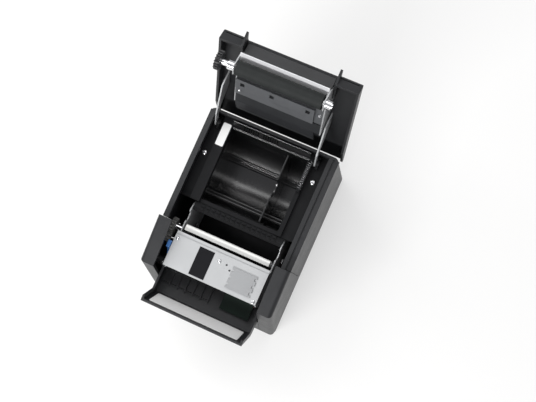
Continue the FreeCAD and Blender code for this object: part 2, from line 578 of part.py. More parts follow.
def frame_plate(label, sign):
    """A pressed side plate with the seat that the platen bearing drops into."""
    body = new_body(label)
    span = ("frame_in", "frame_half") if sign > 0 else ("-frame_half", "-frame_in")
    profile = [("leg_front", "frame_low"), ("frame_rear", "frame_low"),
               ("frame_rear", "frame_top - frame_rear_drop"), ("platen_y + seat_margin", "frame_top"),
               ("frame_front", "frame_top"), ("frame_front", "nose_low"),
               ("leg_front - gusset_run", "nose_low"), ("leg_front", "nose_low - gusset_drop")]
    pad(body, "YZ_Plane", span[0], span[1], profile)
    seat = "(bearing_radius + fit_gap)"
    cut_round(body, "YZ_Plane", span[0], span[1], ("platen_y", "platen_z"), seat)
    mouth = ("platen_y - " + seat, "platen_y + " + seat)
    cut(body, "YZ_Plane", span[0], span[1], box_corners(mouth, ("platen_z", "frame_top + overcut")))
    cut_round(body, "YZ_Plane", span[0], span[1], ("pivot_y", "pivot_z"), "pivot_radius")
    low = "frame_low + window_rise"
    for place in ("leg_front + window_inset", "leg_front + window_inset + window_step"):
        hole = box_corners((place, place + " + window_width"), (low, low + " + window_height"))
        cut(body, "YZ_Plane", span[0], span[1], hole)
    if sign < 0:
        shaft_hole = "motor_shaft_radius + shaft_hole_gap"
        cut_round(body, "YZ_Plane", span[0], span[1], ("feed_y", "feed_z"), shaft_hole)
        cut_round(body, "YZ_Plane", span[0], span[1], ("lever_y", "lever_z"), "motor_shaft_radius")
        cut_round(body, "YZ_Plane", span[0], span[1], ("idler_y", "idler_z"), "idler_bore")


def frame_bed():
    body = new_body("frame_bed")
    flat = box_corners(("-frame_in", "frame_in"), ("leg_front", "frame_rear"))
    pad(body, "XY_Plane", "frame_low", "frame_low + sheet", flat)


def front_rail():
    """The folded rail across the front of the frame, with the plates over the motors."""
    body = new_body("front_rail")
    under = "frame_top - sheet"
    low = "frame_top - rail_fold"
    flange = "rail_y + rail_flange"
    fold = [("rail_y", low), ("rail_y + sheet", low), ("rail_y + sheet", under), (flange, under),
            (flange, "frame_top"), ("rail_y", "frame_top")]
    pad(body, "YZ_Plane", "-frame_in", "frame_in", fold)
    inner = "plate_length - frame_in"
    plate = [("-frame_in", "rail_y"), ("-frame_in", "rail_y + plate_depth"), (inner, "rail_y + plate_depth"),
             (inner + " + plate_slant", "rail_y")]
    pad(body, "XY_Plane", under, "frame_top", plate)
    inner = "frame_in - wing_length"
    wing = [(inner + " - wing_slant", "rail_y"), ("frame_in", "rail_y"), ("frame_in", "rail_y + wing_depth"),
            (inner, "rail_y + wing_depth")]
    pad(body, "XY_Plane", under, "frame_top", wing)


def print_head():
    body = new_body("print_head")
    profile = [("head_front", "head_low"), ("head_rear", "head_low"),
               ("head_rear", "head_top - head_chamfer"), ("head_rear - head_chamfer", "head_top"),
               ("head_front", "head_top")]
    pad(body, "YZ_Plane", "-frame_in + head_end_gap", "frame_in - head_end_gap", profile)


def head_heat_sink():
    body = new_body("head_heat_sink")
    low = "head_low - sink_depth"
    block = box_corners(("head_front + sink_inset", "head_rear - sink_inset"), (low, "head_low"))
    pad(body, "YZ_Plane", "-frame_in + sink_end_gap", "frame_in - sink_end_gap", block)
    first = "fin_inset - frame_in"
    fin = box_corners((first, first + " + fin_gap"),
                      (low + " + fin_low_margin", "head_low - fin_high_margin"))
    gap = cut(body, "XZ_Plane", "head_front", "head_front + sink_inset + fin_depth", fin)
    step = "2 * (frame_in - fin_inset) / %d - fin_gap / %d" % (SINK_FINS - 1, SINK_FINS - 1)
    repeat(body, gap, "X_Axis", step, SINK_FINS)
    cut_round(body, "YZ_Plane", "-frame_in", "frame_in", ("pivot_y", "pivot_z"), "pivot_radius")


def turned(label, centre, steps):
    """A round piece along X, built from steps of low end, high end and radius."""
    body = new_body(label)
    for low, high, radius in steps:
        pad_round(body, "YZ_Plane", low, high, centre, radius)
    return body


def head_pivot_rod():
    span = ("-frame_half - pivot_proud", "frame_half + pivot_proud")
    turned("head_pivot_rod", ("pivot_y", "pivot_z"), [(*span, "pivot_radius")])


def feed_motor():
    centre = ("feed_y", "feed_z")
    end = "motor_length - frame_in"
    body = turned("feed_motor", centre, [("-frame_in", end, "motor_radius")])
    bore_end = end + " - motor_end_wall"
    cut_round(body, "YZ_Plane", "-frame_in", bore_end, centre, "motor_shaft_radius + turn_gap")


def feed_shaft():
    end = "motor_length - frame_in - motor_end_wall - shaft_float"
    turned("feed_shaft", ("feed_y", "feed_z"), [("-gear_place - gear_float", end, "motor_shaft_radius")])


def knife_motor():
    centre = ("knife_motor_y", "knife_motor_z")
    end = "knife_motor_length - frame_in"
    steps = [("-frame_in", end, "knife_motor_radius"), (end, end + " + knife_shaft", "motor_shaft_radius")]
    turned("knife_motor", centre, steps)


def flat_sided(sides, centre, along, aside, radius):
    """A closed section across a path, with this many flat sides."""
    other = along.cross(aside)
    turns = [2 * math.pi * i / sides for i in range(sides + 1)]
    return Part.makePolygon([centre + (aside * math.cos(a) + other * math.sin(a)) * radius for a in turns])


def motor_leads():
    """The pair of leads from the knife motor across to the right plate, held against the rail."""
    radius = size("lead_radius")
    start_x = size("knife_motor_length") - size("frame_in")
    finish_x = size("frame_in")
    bend = (finish_x - start_x) / 3
    motor_z = size("knife_motor_z")
    high = motor_z + size("motor_shaft_radius") + radius + size("lead_gap")
    low = motor_z - size("lead_drop")
    leads = []
    for offset in (-1, 1):
        lane_y = size("knife_motor_y") + offset * (radius + size("lead_gap"))
        spots = [V(start_x, lane_y, high), V(start_x + bend, lane_y, high),
                 V(finish_x - bend, lane_y, low), V(finish_x, lane_y, low)]
        section = flat_sided(LEAD_SIDES, spots[0], V(1, 0, 0), V(0, 1, 0), radius)
        leads.append(rounded_path(spots).makePipeShell([section], True, False))
    node = doc.addObject("Part::Feature", "motor_leads")
    node.Shape = Part.makeCompound(leads)
    nodes.append(node)


def rounded_path(spots):
    """Straight runs joined by tangent arcs as large as the runs allow."""
    edges = []
    here = spots[0]
    for before, corner, after in zip(spots, spots[1:], spots[2:]):
        into = V(corner - before).normalize()
        out = V(after - corner).normalize()
        back_off = 0.45 * min((corner - before).Length, (after - corner).Length)
        first = corner - into * back_off
        last = corner + out * back_off
        edges.append(Part.LineSegment(here, first).toShape())
        edges.append(Part.Arc(*arc(first, into, last)).toShape())
        here = last
    edges.append(Part.LineSegment(here, spots[-1]).toShape())
    return Part.Wire(edges)


def gear_centre(label):
    return size(GEARS[label][0]), size(GEARS[label][1])


def tooth_step(label):
    return 2 * math.pi / size(GEARS[label][2])


def bearing_angle(first, second):
    """The direction from one gear's axis to another's, in the YZ plane."""
    start = gear_centre(first)
    finish = gear_centre(second)
    return math.atan2(finish[1] - start[1], finish[0] - start[0])


def gear_phase(label):
    """The angle of one tooth, chosen so that teeth and spaces meet along the lines of centres."""
    to_idler = bearing_angle("feed_pinion", "idler_gear")
    if label == "feed_pinion":
        return to_idler
    idler = to_idler + math.pi + tooth_step("idler_gear") / 2
    if label == "idler_gear":
        return idler
    toward = bearing_angle("idler_gear", "platen_gear")
    ahead = (toward - idler) / tooth_step("idler_gear")
    return toward + math.pi + (0.5 + ahead) * tooth_step("platen_gear")


def gear(label, bore):
    """A spur gear with straight-sided teeth, thinned for running clearance."""
    module = size("gear_module")
    teeth = int(size(GEARS[label][2]))
    pitch = module * teeth / 2
    centre_y, centre_z = gear_centre(label)
    left = -size("gear_place")
    phase = gear_phase(label)
    step = tooth_step(label)
    points = []
    for tooth in range(teeth):
        for height, share in TOOTH_FLANKS:
            turn = phase + (tooth + share) * step
            radius = pitch + height * module
            points.append(V(left, centre_y + radius * math.cos(turn), centre_z + radius * math.sin(turn)))
    profile = Part.Wire(Part.makePolygon(points + points[:1]).Edges)
    hole = Part.Wire(Part.Circle(V(left, centre_y, centre_z), V(1, 0, 0), bore).toShape())
    wheel = Part.Face(profile).cut(Part.Face(hole)).extrude(V(size("gear_thick"), 0, 0))
    node = doc.addObject("Part::Feature", label)
    node.Label = label
    node.Shape = wheel.Solids[0]
    nodes.append(node)
    return node


def release_lever():
    """The thumb lever beside the frame's left plate."""
    body = new_body("release_lever")
    span = ("-frame_half - lever_gap - lever_thick", "-frame_half - lever_gap")
    pivot = ("lever_y", "lever_z")
    under = "lever_tip - thumb_height"
    arm = [("lever_y - lever_half", "lever_z"), ("lever_y + lever_half", "lever_z"),
           ("lever_y + thumb_reach", under), ("lever_y + thumb_reach", "lever_tip"),
           ("lever_y + thumb_lead", "lever_tip"), ("lever_y + lever_half", under)]
    pad(body, "YZ_Plane", span[0], span[1], arm)
    pad_round(body, "YZ_Plane", span[0], span[1], pivot, "lever_boss")
    top = size("lever_tip")
    fillet(body, "thumb_round", lambda middle, along: near(abs(along.x), 1) and near(middle.z, top))
    cut_round(body, "YZ_Plane", span[0], span[1], pivot, "motor_shaft_radius + turn_gap")
    pin_low = span[0] + " - lever_float"
    turned("lever_pin", pivot, [(pin_low, "-frame_in", "motor_shaft_radius")])


def idler_axle():
    outer = "-gear_place - axle_float"
    collar = "idler_bore + axle_lip"
    steps = [(outer, "-frame_in", "idler_bore"), ("-gear_in + axle_float", "-frame_half", collar)]
    turned("idler_axle", ("idler_y", "idler_z"), steps)


def main_board():
    body = new_body("main_board")
    wide = ("board_inset - inside", "inside - board_inset")
    flat = box_corners(wide, ("frame_rear + board_gap", "back - wall - overcut"))
    pad(body, "XY_Plane", "frame_low", "board_top", flat)


def sockets():
    """The inlets and sockets on the rear edge of the board."""
    for label, (place, width) in SOCKETS.items():
        body = new_body(label)
        across = (place, "%s + %s" % (place, width))
        up = ("board_top", "board_top + socket_height")
        pad(body, "XZ_Plane", "back - socket_depth", "back", box_corners(across, up))
        mouth = (across[0] + " + socket_wall", across[1] + " - socket_wall")
        recess = (up[0] + " + socket_wall", up[1] + " - socket_wall")
        cut(body, "XZ_Plane", "back - socket_mouth", "back", box_corners(mouth, recess))


def power_switch():
    """A rocker in its own housing, set into the rear wall."""
    housing = new_body("switch_housing")
    across = ("switch_place", "switch_place + switch_width")
    up = ("switch_low", "switch_low + switch_height")
    face = "back + switch_rim_thick"
    pad(housing, "XZ_Plane", "back - switch_depth", "back", box_corners(across, up))
    rim = ((across[0] + " - switch_rim", across[1] + " + switch_rim"),
           (up[0] + " - switch_rim", up[1] + " + switch_rim"))
    pad(housing, "XZ_Plane", "back", face, box_corners(*rim))
    inner = ((across[0] + " + switch_wall", across[1] + " - switch_wall"),
             (up[0] + " + switch_wall", up[1] + " - switch_wall"))
    cut(housing, "XZ_Plane", "back - switch_recess", face, box_corners(*inner))
    pivot = ("back - switch_pivot", "switch_low + switch_height / 2")
    cut_round(housing, "YZ_Plane", across[0], across[1], pivot, "rocker_pin + turn_gap")
    rocker = new_body("power_rocker")
    low = inner[1][0] + " + rocker_gap"
    high = inner[1][1] + " - rocker_gap"
    profile = [("back - rocker_base", low), ("back - rocker_low", low), ("back + rocker_crown", pivot[1]),
               ("back + rocker_high", high), ("back - rocker_back", high), ("back - rocker_heel", pivot[1])]
    pad(rocker, "YZ_Plane", inner[0][0] + " + fit_gap", inner[0][1] + " - fit_gap", profile)
    pad_round(rocker, "YZ_Plane", across[0], across[1], pivot, "rocker_pin")


def lid_shell():
    """The lid's moulding: a shallow cover with ears, horns beside the paper slot and a slanted chute."""
    body = new_body("lid_shell")
    side = [("lid_front", "lid_low"), ("lid_rear - lid_rear_run", "lid_low"),
            ("lid_rear", "lid_low + lid_rear_rise"), ("lid_rear", "lid_top"), ("lid_front", "lid_top")]
    pad(body, "YZ_Plane", "-half_width", "half_width", side)
    top = size("lid_top")
    fillet(body, "lid_round", lambda middle, along: near(middle.z, top))
    below = "lid_low - overcut"
    hollow = [("lid_front + wall", below), ("lid_rear + overcut", below), ("lid_rear + overcut", "lid_under"),
              ("lid_front + wall", "lid_under")]
    cut(body, "YZ_Plane", "-inside", "inside", hollow)
    lip = "lid_front + ear_recess"
    mouth = box_corners(("-ear_in", "ear_in"), ("lid_front - overcut", lip))
    cut(body, "XY_Plane", "lid_low", "lid_top + overcut", mouth)
    tip = "lid_top - horn_drop"
    horn = [("lid_front - horn_reach", tip), ("lid_front", "lid_low + lid_gap"),
            ("platen_y + horn_rear", "lid_low + lid_gap"), ("platen_y + horn_rear", "lid_under"),
            ("lid_front + wall", "lid_under"), ("lid_front + wall", tip)]
    for low, high in (("-ear_in - horn_thick", "-ear_in"), ("ear_in", "ear_in + horn_thick")):
        pad(body, "YZ_Plane", low, high, horn)
    chute = [(lip, "lid_top"), (lip + " + chute_thick", "lid_top"),
             (lip + " + chute_slant + chute_thick", "lid_top - chute_depth"),
             (lip + " + chute_slant", "lid_top - chute_depth")]
    pad(body, "YZ_Plane", "-bracket_in", "bracket_in", chute)
    groove_top = "lid_top - ear_groove_drop"
    ear = ("ear_in + horn_thick", "half_width - ear_margin")
    deep = ("lid_front - overcut", "lid_front + ear_groove_depth")
    for across in (ear, ("-(%s)" % ear[1], "-(%s)" % ear[0])):
        cut(body, "XY_Plane", groove_top + " - ear_groove_width", groove_top, box_corners(across, deep))
    open_lid(body)


def platen_bracket():
    """The sheet-metal yoke under the lid that carries the platen and the fixed blade."""
    body = new_body("platen_bracket")
    foot = "platen_z - yoke_drop"
    rear = "platen_y + yoke_length"
    arm = [("platen_y - yoke_half", foot), ("platen_y + yoke_half", foot),
           ("platen_y + yoke_rear", "yoke_low"), (rear, "yoke_low"), (rear, "lid_under"),
           ("platen_y + yoke_half", "lid_under"),
           ("platen_y - yoke_front", "blade_low + blade_thick")]
    for low, high in (("-bracket_half", "-bracket_in"), ("bracket_in", "bracket_half")):
        pad(body, "YZ_Plane", low, high, arm)
        cut_round(body, "YZ_Plane", low, high, ("platen_y", "platen_z"), "platen_shaft_radius + turn_gap")
    bridge = box_corners(("-bracket_half", "bracket_half"), ("platen_y + yoke_half", rear))
    pad(body, "XY_Plane", "lid_under - sheet", "lid_under", bridge)
    open_lid(body)


def counter_blade():
    body = new_body("counter_blade")
    top = "blade_low + blade_thick"
    rear = "blade_front + blade_width"
    profile = [("blade_front", "blade_low"), (rear, "blade_low"), (rear, top),
               ("blade_front + blade_bevel", top), ("blade_front", "blade_low + blade_thick / 2")]
    pad(body, "YZ_Plane", "-bracket_in", "bracket_in", profile)
    open_lid(body)


def platen():
    """The rubber roller on its shaft, the two bearings and the gear on the shaft's left end."""
    centre = ("platen_y", "platen_z")
    end = "bracket_half + bearing_length"
    shaft_span = ("-gear_place - gear_float", end + " + shaft_proud")
    shaft = turned("platen_shaft", centre, [(*shaft_span, "platen_shaft_radius")])
    roller = turned("platen_roller", centre, [("-platen_half", "platen_half", "platen_radius")])
    cut_round(roller, "YZ_Plane", "-platen_half", "platen_half", centre, "platen_shaft_radius")
    wheel = gear("platen_gear", size("platen_shaft_radius"))
    open_lid(shaft, roller, wheel)
    rings = {"platen_bearing_left": ("-(%s)" % end, "-bracket_half"),
             "platen_bearing_right": ("bracket_half", end)}
    for label, span in rings.items():
        ring = turned(label, centre, [(*span, "bearing_radius")])
        cut_round(ring, "YZ_Plane", *span, centre, "platen_shaft_radius + turn_gap")
        open_lid(ring)


def paper_guide_bar():
    """The stepped bar behind the platen, with three square notches."""
    body = new_body("paper_guide_bar")
    deep = ("bar_front", "bar_rear")
    flange = box_corners(("-bracket_in", "bracket_in"), deep)
    pad(body, "XY_Plane", "bar_top", "bar_top + bar_flange", flange)
    block = ("-bracket_in", "bracket_in - bar_end_gap")
    pad(body, "XY_Plane", "bar_low", "bar_top", box_corners(block, deep))
    step = box_corners(block, ("bar_front + bar_step", "bar_rear"))
    cut(body, "XY_Plane", "bar_low", "bar_low + bar_step_depth", step)
    for place in ("notch_one", "notch_two", "notch_three"):
        across = (place + " - bracket_in", place + " - bracket_in + bar_notch")
        along = ("bar_front + bar_notch_setback", "bar_front + bar_notch_setback + bar_notch")
        cut(body, "XY_Plane", "bar_low", "bar_top", box_corners(across, along))
    open_lid(body)


def lid_liner():
    """The bowed panel that closes the lid over the paper roll."""
    body = new_body("lid_liner")
    start = "bar_rear + seam"
    bend = start + " + liner_flat"
    bow = bend + " + liner_bow"
    tail = bow + " + liner_tail"
    bow_low = "liner_low + liner_bow_rise"
    tail_low = bow_low + " + liner_tail_rise"
    flat = box_corners((start, bend), ("liner_low", "liner_low + liner_thick"))
    pad(body, "YZ_Plane", "-bracket_in", "bracket_in", flat)
    sweep = [(bend, "liner_low"), (bow, bow_low), (tail, tail_low), (tail, tail_low + " + liner_thick"),
             (bow, bow_low + " + liner_thick"), (bend, "liner_low + liner_thick")]
    pad(body, "YZ_Plane", "-bracket_in", "bucket_right - liner_end_gap", sweep)
    open_lid(body)


def lid_arm(label, low, high, pin_low, pin_high):
    """A steel arm from the lid's roof to the hinge line, and the pin it turns on."""
    body = new_body(label)
    neck = "lid_y - arm_neck"
    profile = [("lid_y", "lid_z - arm_half"), ("lid_y", "lid_z + arm_rise"), (neck, "lid_z + arm_rise"),
               ("platen_y + arm_root", "lid_under"), ("platen_y + arm_tip", "lid_under"),
               ("platen_y + arm_heel", "lid_z + arm_heel_rise"), (neck, "lid_z - arm_half")]
    pad(body, "YZ_Plane", low, high, profile)
    pad_round(body, "YZ_Plane", low, high, ("lid_y", "lid_z"), "arm_half")
    cut_round(body, "YZ_Plane", low, high, ("lid_y", "lid_z"), "hinge_pin_radius")
    pin_label = label.replace("arm", "hinge_pin")
    pin = turned(pin_label, ("lid_y", "lid_z"), [(pin_low, pin_high, "hinge_pin_radius")])
    open_lid(body, pin)


def front_cover():
    """The hood over the cutter: front and top panels, end gussets and a grid of ribs inside."""
    body = new_body("front_cover")
    inner_corner = ("cover_top_front + corner_run", "cheek_front_height - corner_drop")
    panels = [("cover_low_front", "cover_low"), ("cover_top_front", "cheek_front_height"),
              ("cover_lip", "cover_lip_height"), ("cover_lip", "cover_lip_height - cover_wall"), inner_corner,
              ("cover_low_front + cover_wall", "cover_low")]
    pad(body, "YZ_Plane", "-cover_half", "cover_half", panels)
    high = size("cheek_front_height")
    ridge = size("cover_top_front")
    fillet(body, "cover_round", lambda middle, along: near(middle.z, high) and near(middle.y, ridge))
    gusset = [("cover_low_front + cover_wall / 2", "cover_low"),
              ("cover_top_front + end_inset", "cheek_front_height - end_inset"),
              ("cover_lip", "cover_lip_height - cover_wall / 2"), ("cover_lip", "cover_lip_height - end_lip"),
              ("cover_top_front + end_throat", "cheek_front_height - end_throat_drop"),
              ("cover_y + end_inset", "cover_z + lug_radius"),
              ("cover_y + end_inset", "cover_z - lug_radius"),
              ("cover_low_front + end_foot", "cover_low")]
    for low, top in (("-cover_half", "cover_wall - cover_half"), ("cover_half - cover_wall", "cover_half")):
        pad(body, "YZ_Plane", low, top, gusset)
        pad_round(body, "YZ_Plane", low, top, ("cover_y", "cover_z"), "lug_radius")
        cut_round(body, "YZ_Plane", low, top, ("cover_y", "cover_z"), "cover_pin_radius")
    rib_low = "cover_low + cell_low"
    rib_top = "cheek_front_height - cell_top"
    rib_low_y = "cover_low_front + lean * cell_low + cell_root"
    rib_top_y = "cover_top_front - lean * cell_top + cell_root"
    rib = [(rib_low_y, rib_low), (rib_low_y + " + cell_depth", rib_low),
           (rib_top_y + " + cell_depth", rib_top), (rib_top_y, rib_top)]
    first = "cell_pitch * %d" % (COVER_CELLS - 1)
    ribs = pad(body, "YZ_Plane", "-%s" % first, "cell_thick - " + first, rib)
    repeat(body, ribs, "X_Axis", "cell_pitch", COVER_CELLS)
    for level in range(3):
        rise = "(cell_low + %d * cell_step)" % level
        shelf_z = "cover_low + " + rise
        shelf_y = "cover_low_front + cell_root + lean * " + rise
        shelf = box_corners((shelf_y, shelf_y + " + cell_depth"), (shelf_z, shelf_z + " + cell_thick"))
        pad(body, "YZ_Plane", "-cover_half + cover_wall", "cell_thick", shelf)
    for place, radius in (("button_place", "button_radius + fit_gap"), ("lens_place", "lens_radius")):
        through = ("panel_front - 2 * cover_wall", "panel_front + 3 * cover_wall")
        cut_round(body, "XZ_Plane", through[0], through[1], (place, "button_height"), radius)
    open_cover(body)


def cover_pins():
    bore_end = "cheek_in + pin_reach"
    spans = {"cover_pin_left": ("-(%s)" % bore_end, "cover_wall - cover_half"),
             "cover_pin_right": ("cover_half - cover_wall", bore_end)}
    for label, (low, high) in spans.items():
        open_cover(turned(label, ("cover_y", "cover_z"), [(low, high, "cover_pin_radius")]))


def control_panel():
    """The paper-feed button and status lens in the cover's front, and the small board behind."""
    centre = ("button_place", "button_height")
    button = new_body("feed_button")
    rear = "panel_front + button_depth"
    pad_round(button, "XZ_Plane", "panel_front - button_proud", rear, centre, "button_radius")
    flange = "button_radius + button_flange"
    pad_round(button, "XZ_Plane", rear + " - button_flange_thick", rear, centre, flange)
    lens = new_body("status_lens")
    board_face = "panel_front + panel_board_gap"
    lens_centre = ("lens_place", "button_height")
    pad_round(lens, "XZ_Plane", "panel_front - lens_proud", board_face, lens_centre, "lens_radius")
    board = new_body("panel_board")
    flat = box_corners(("lens_place - panel_board_left", "button_place + panel_board_right"),
                       ("button_height - panel_board_half", "button_height + panel_board_half"))
    pad(board, "XZ_Plane", board_face, board_face + " + panel_board_thick", flat)
    post = "panel_front + cover_wall + panel_post_gap"
    for place in ("lens_place - panel_board_left + panel_post_inset",
                  "button_place + panel_board_right - panel_post_inset"):
        pad_round(board, "XZ_Plane", post, board_face, (place, "button_height"), "panel_post_radius")
    open_cover(button, lens, board)


def cutter_unit():
    """The lift-out cutter: a folded base and cover, a raised cap, a dark film and the knife."""
    base = new_body("cutter_base")
    wide = ("-unit_half", "unit_half")
    pad(base, "XY_Plane", "unit_low", "unit_low + sheet", box_corners(wide, ("unit_front", "unit_rear")))
    under = "unit_roof - sheet"
    for low, high in (("-unit_half", "sheet - unit_half"), ("unit_half - sheet", "unit_half")):
        side = box_corners((low, high), ("unit_front + sheet", "unit_rear - ledge_depth"))
        pad(base, "XY_Plane", "unit_low", under, side)
    front_wall = box_corners(wide, ("unit_front", "unit_front + sheet"))
    pad(base, "XY_Plane", "unit_low", "unit_low + unit_front_wall", front_wall)
    slot = "(knife_half + fit_gap)"
    deep = ("unit_front + bed_front", "unit_rear - bed_rear")
    for low, high in (("-unit_half", "-" + slot), (slot, "unit_half")):
        pad(base, "XY_Plane", "unit_low", "knife_top + fit_gap", box_corners((low, high), deep))
    bed_top = "knife_top - knife_thick - fit_gap"
    pad(base, "XY_Plane", "unit_low", bed_top, box_corners(("-" + slot, slot), deep))

    cover = new_body("cutter_cover")
    hem = "unit_low + unit_front_wall + unit_fold_gap"
    ledge = "unit_rear - ledge_depth"
    ledge_top = "unit_top - ledge_drop"
    fold = [("unit_front", hem), ("unit_front + sheet", hem), ("unit_front + sheet", under), (ledge, under),
            (ledge, ledge_top + " - sheet"), ("unit_rear", ledge_top + " - sheet"), ("unit_rear", ledge_top),
            (ledge + " + sheet", ledge_top), (ledge + " + sheet", "unit_roof"), ("unit_front", "unit_roof")]
    pad(cover, "YZ_Plane", "-unit_half", "unit_half", fold)
    pilot_y = "unit_front + pilot_front"
    for place in (("pilot_place", pilot_y + " + pilot_rise"), ("pilot_place + pilot_step", pilot_y)):
        cut_round(cover, "XY_Plane", under, "unit_roof", place, "pilot_radius")

    cap = new_body("cutter_cap")
    cap_y = ("unit_front + cap_front", "unit_front + cap_front + cap_depth")
    pad(cap, "XY_Plane", "unit_roof", "unit_top", box_corners(("cap_left", "cap_right"), cap_y))
    notch_y = "unit_front + cap_front + cap_notch_inset"
    for edge in (("cap_left", "cap_left + cap_notch"), ("cap_right - cap_notch", "cap_right")):
        notch = box_corners(edge, (notch_y, notch_y + " + cap_notch_depth"))
        made = cut(cap, "XY_Plane", "unit_roof", "unit_top", notch)
        repeat(cap, made, "Y_Axis", "cap_notch_pitch", 3)

    film = new_body("cutter_film")
    flat = box_corners(("-film_place", "film_width - film_place"),
                       ("unit_front + film_margin", "unit_rear - ledge_depth - film_margin / 2"))
    pad(film, "XY_Plane", "unit_roof", "unit_roof + film_thick", flat)

    knife = new_body("moving_knife")
    edge = "unit_rear - knife_rear"
    blade = [("-knife_half", "unit_front + knife_front"), ("knife_half", "unit_front + knife_front"),
             ("knife_half", edge), ("0", edge + " - knife_vee"), ("-knife_half", edge)]
    pad(knife, "XY_Plane", "knife_top - knife_thick", "knife_top", blade)


def biarc(start, start_along, finish, finish_along):
    """Two tangent arcs between two points with given directions."""
    chord = finish - start
    both = start_along + finish_along
    square = 2 * (1 - start_along.dot(finish_along))
    push = (-chord.dot(both) + math.sqrt(chord.dot(both) ** 2 + square * chord.dot(chord))) / square
    middle = (start + finish + (start_along - finish_along) * push) * 0.5
    return [arc(start, start_along, middle), arc(finish, finish_along * -1, middle)[::-1]]


def arc(start, along, finish):
    """Three points of the arc that leaves the start along a direction and reaches the finish."""
    chord = finish - start
    unit = V(chord).normalize()
    angle = math.acos(max(-1, min(1, along.dot(unit))))
    aside = V(along - unit * along.dot(unit)).normalize()
    return start, start + chord * 0.5 + aside * (chord.Length / 2 * math.tan(angle / 2)), finish


def lid_spring():
    """The coil spring beside the right arm, one tube wound along Y."""
    radius = size("spring_radius")
    wire = size("spring_wire")
    axis_x = size("spring_x")
    axis_z = size("spring_z")
    start_y = size("spring_start")
    slope = size("spring_length") / SPRING_TURNS / (2 * math.pi)
    length = math.hypot(radius, slope)

    def spot(turn):
        return V(axis_x + radius * math.cos(turn), start_y + slope * turn, axis_z + radius * math.sin(turn))

    def heading(turn):
        return V(-radius * math.sin(turn), slope, radius * math.cos(turn)) / length

    edges = []
    for step in range(2 * SPRING_TURNS):
        first = step * math.pi
        last = first + math.pi
        for three in biarc(spot(first), heading(first), spot(last), heading(last)):
            edges.append(Part.Arc(*three).toShape())
    section = flat_sided(SPRING_SIDES, spot(0), heading(0), V(1, 0, 0), wire)
    tube = Part.Wire(edges).makePipeShell([section], True, False)
    node = doc.addObject("Part::Feature", "lid_spring")
    node.Label = "lid_spring"
    node.Shape = tube
    nodes.append(node)
    samples = [spot(i * math.pi / 8) for i in range(16 * SPRING_TURNS + 1)]
    apart = [(a - b).Length for i, a in enumerate(samples) for b in samples[i + 10:i + 26]]
    print("lid_spring least gap to itself %.2f mm" % (min(apart) - 2 * wire))


base_tray()
rubber_feet()
main_case()
cheek("left_cheek", -1)
cheek("right_cheek", 1)
front_panel()
top_deck()
paper_bucket()
paper_divider()
rear_louvre()
deck_screws()
paper_guide()
frame_plate("frame_left_plate", -1)
frame_plate("frame_right_plate", 1)
frame_bed()
front_rail()
print_head()
head_heat_sink()
head_pivot_rod()
feed_motor()
feed_shaft()
gear("feed_pinion", size("motor_shaft_radius"))
gear("idler_gear", size("idler_bore") + size("turn_gap"))
idler_axle()
knife_motor()
motor_leads()
release_lever()
main_board()
sockets()
power_switch()
lid_shell()
platen_bracket()
counter_blade()
platen()
paper_guide_bar()
lid_liner()
lid_arm("lid_arm_left", "-arm_left_place", "arm_thick - arm_left_place",
        "-arm_left_place - hinge_pin_proud", "-post_left + post_thick")
lid_arm("lid_arm_right", "arm_right_place", "arm_right_place + arm_thick",
        "arm_right_place", "post_right + post_thick")
front_cover()
cover_pins()
control_panel()
cutter_unit()
lid_spring()
doc.recompute()

for item in doc.Objects:
    if "Invalid" in item.State or "Error" in item.State:
        raise RuntimeError("%s did not build: %s" % (item.Label, item.State))
for node in nodes:
    if node.Shape.isNull() or not node.Shape.isValid():
        raise RuntimeError("%s has no sound shape" % node.Label)

os.makedirs("parts", exist_ok=True)
for node in nodes:
    node.Shape.exportStep("parts/%s.step" % node.Label)
print("%d nodes written" % len(nodes))
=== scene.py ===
"""Looks of the receipt printer: finishes, labels, screws, spring, leads, contacts and the studio."""
import json
import math

import bmesh
import bpy
from mathutils import Matrix, Vector


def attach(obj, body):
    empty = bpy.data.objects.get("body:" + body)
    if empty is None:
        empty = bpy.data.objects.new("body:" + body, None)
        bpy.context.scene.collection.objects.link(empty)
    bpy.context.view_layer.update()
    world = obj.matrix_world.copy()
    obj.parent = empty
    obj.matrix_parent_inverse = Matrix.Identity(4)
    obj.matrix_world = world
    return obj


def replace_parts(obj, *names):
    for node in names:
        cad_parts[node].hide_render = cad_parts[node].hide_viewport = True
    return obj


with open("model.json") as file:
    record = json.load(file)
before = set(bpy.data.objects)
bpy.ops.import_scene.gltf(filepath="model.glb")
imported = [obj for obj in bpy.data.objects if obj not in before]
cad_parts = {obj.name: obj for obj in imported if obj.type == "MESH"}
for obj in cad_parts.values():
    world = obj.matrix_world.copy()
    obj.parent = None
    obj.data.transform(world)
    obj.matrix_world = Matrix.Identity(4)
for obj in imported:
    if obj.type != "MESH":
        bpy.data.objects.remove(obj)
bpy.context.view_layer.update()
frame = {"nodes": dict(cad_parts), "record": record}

MM = 0.001
IMAGE_WIDTH = 536
FOCAL_PIXELS = 928.3
SENSOR_WIDTH = 36.0

# The photo's view: where the camera looks, from which side, and how it is rolled.
VIEW_TARGET = Vector((13.7, 33.7, 60.0)) * MM
VIEW_DISTANCE = 999.8 * MM
VIEW_AZIMUTH = math.radians(66.3)
VIEW_ELEVATION = math.radians(80.4)
VIEW_ROLL = math.radians(-42.6)

# Hinge lines as Y and Z in millimetres, and how far each stands open.
LID_HINGE = (87.0, 101.0)
LID_OPEN = math.radians(117)
COVER_HINGE = (-70.0, 84.0)
COVER_OPEN = math.radians(96)

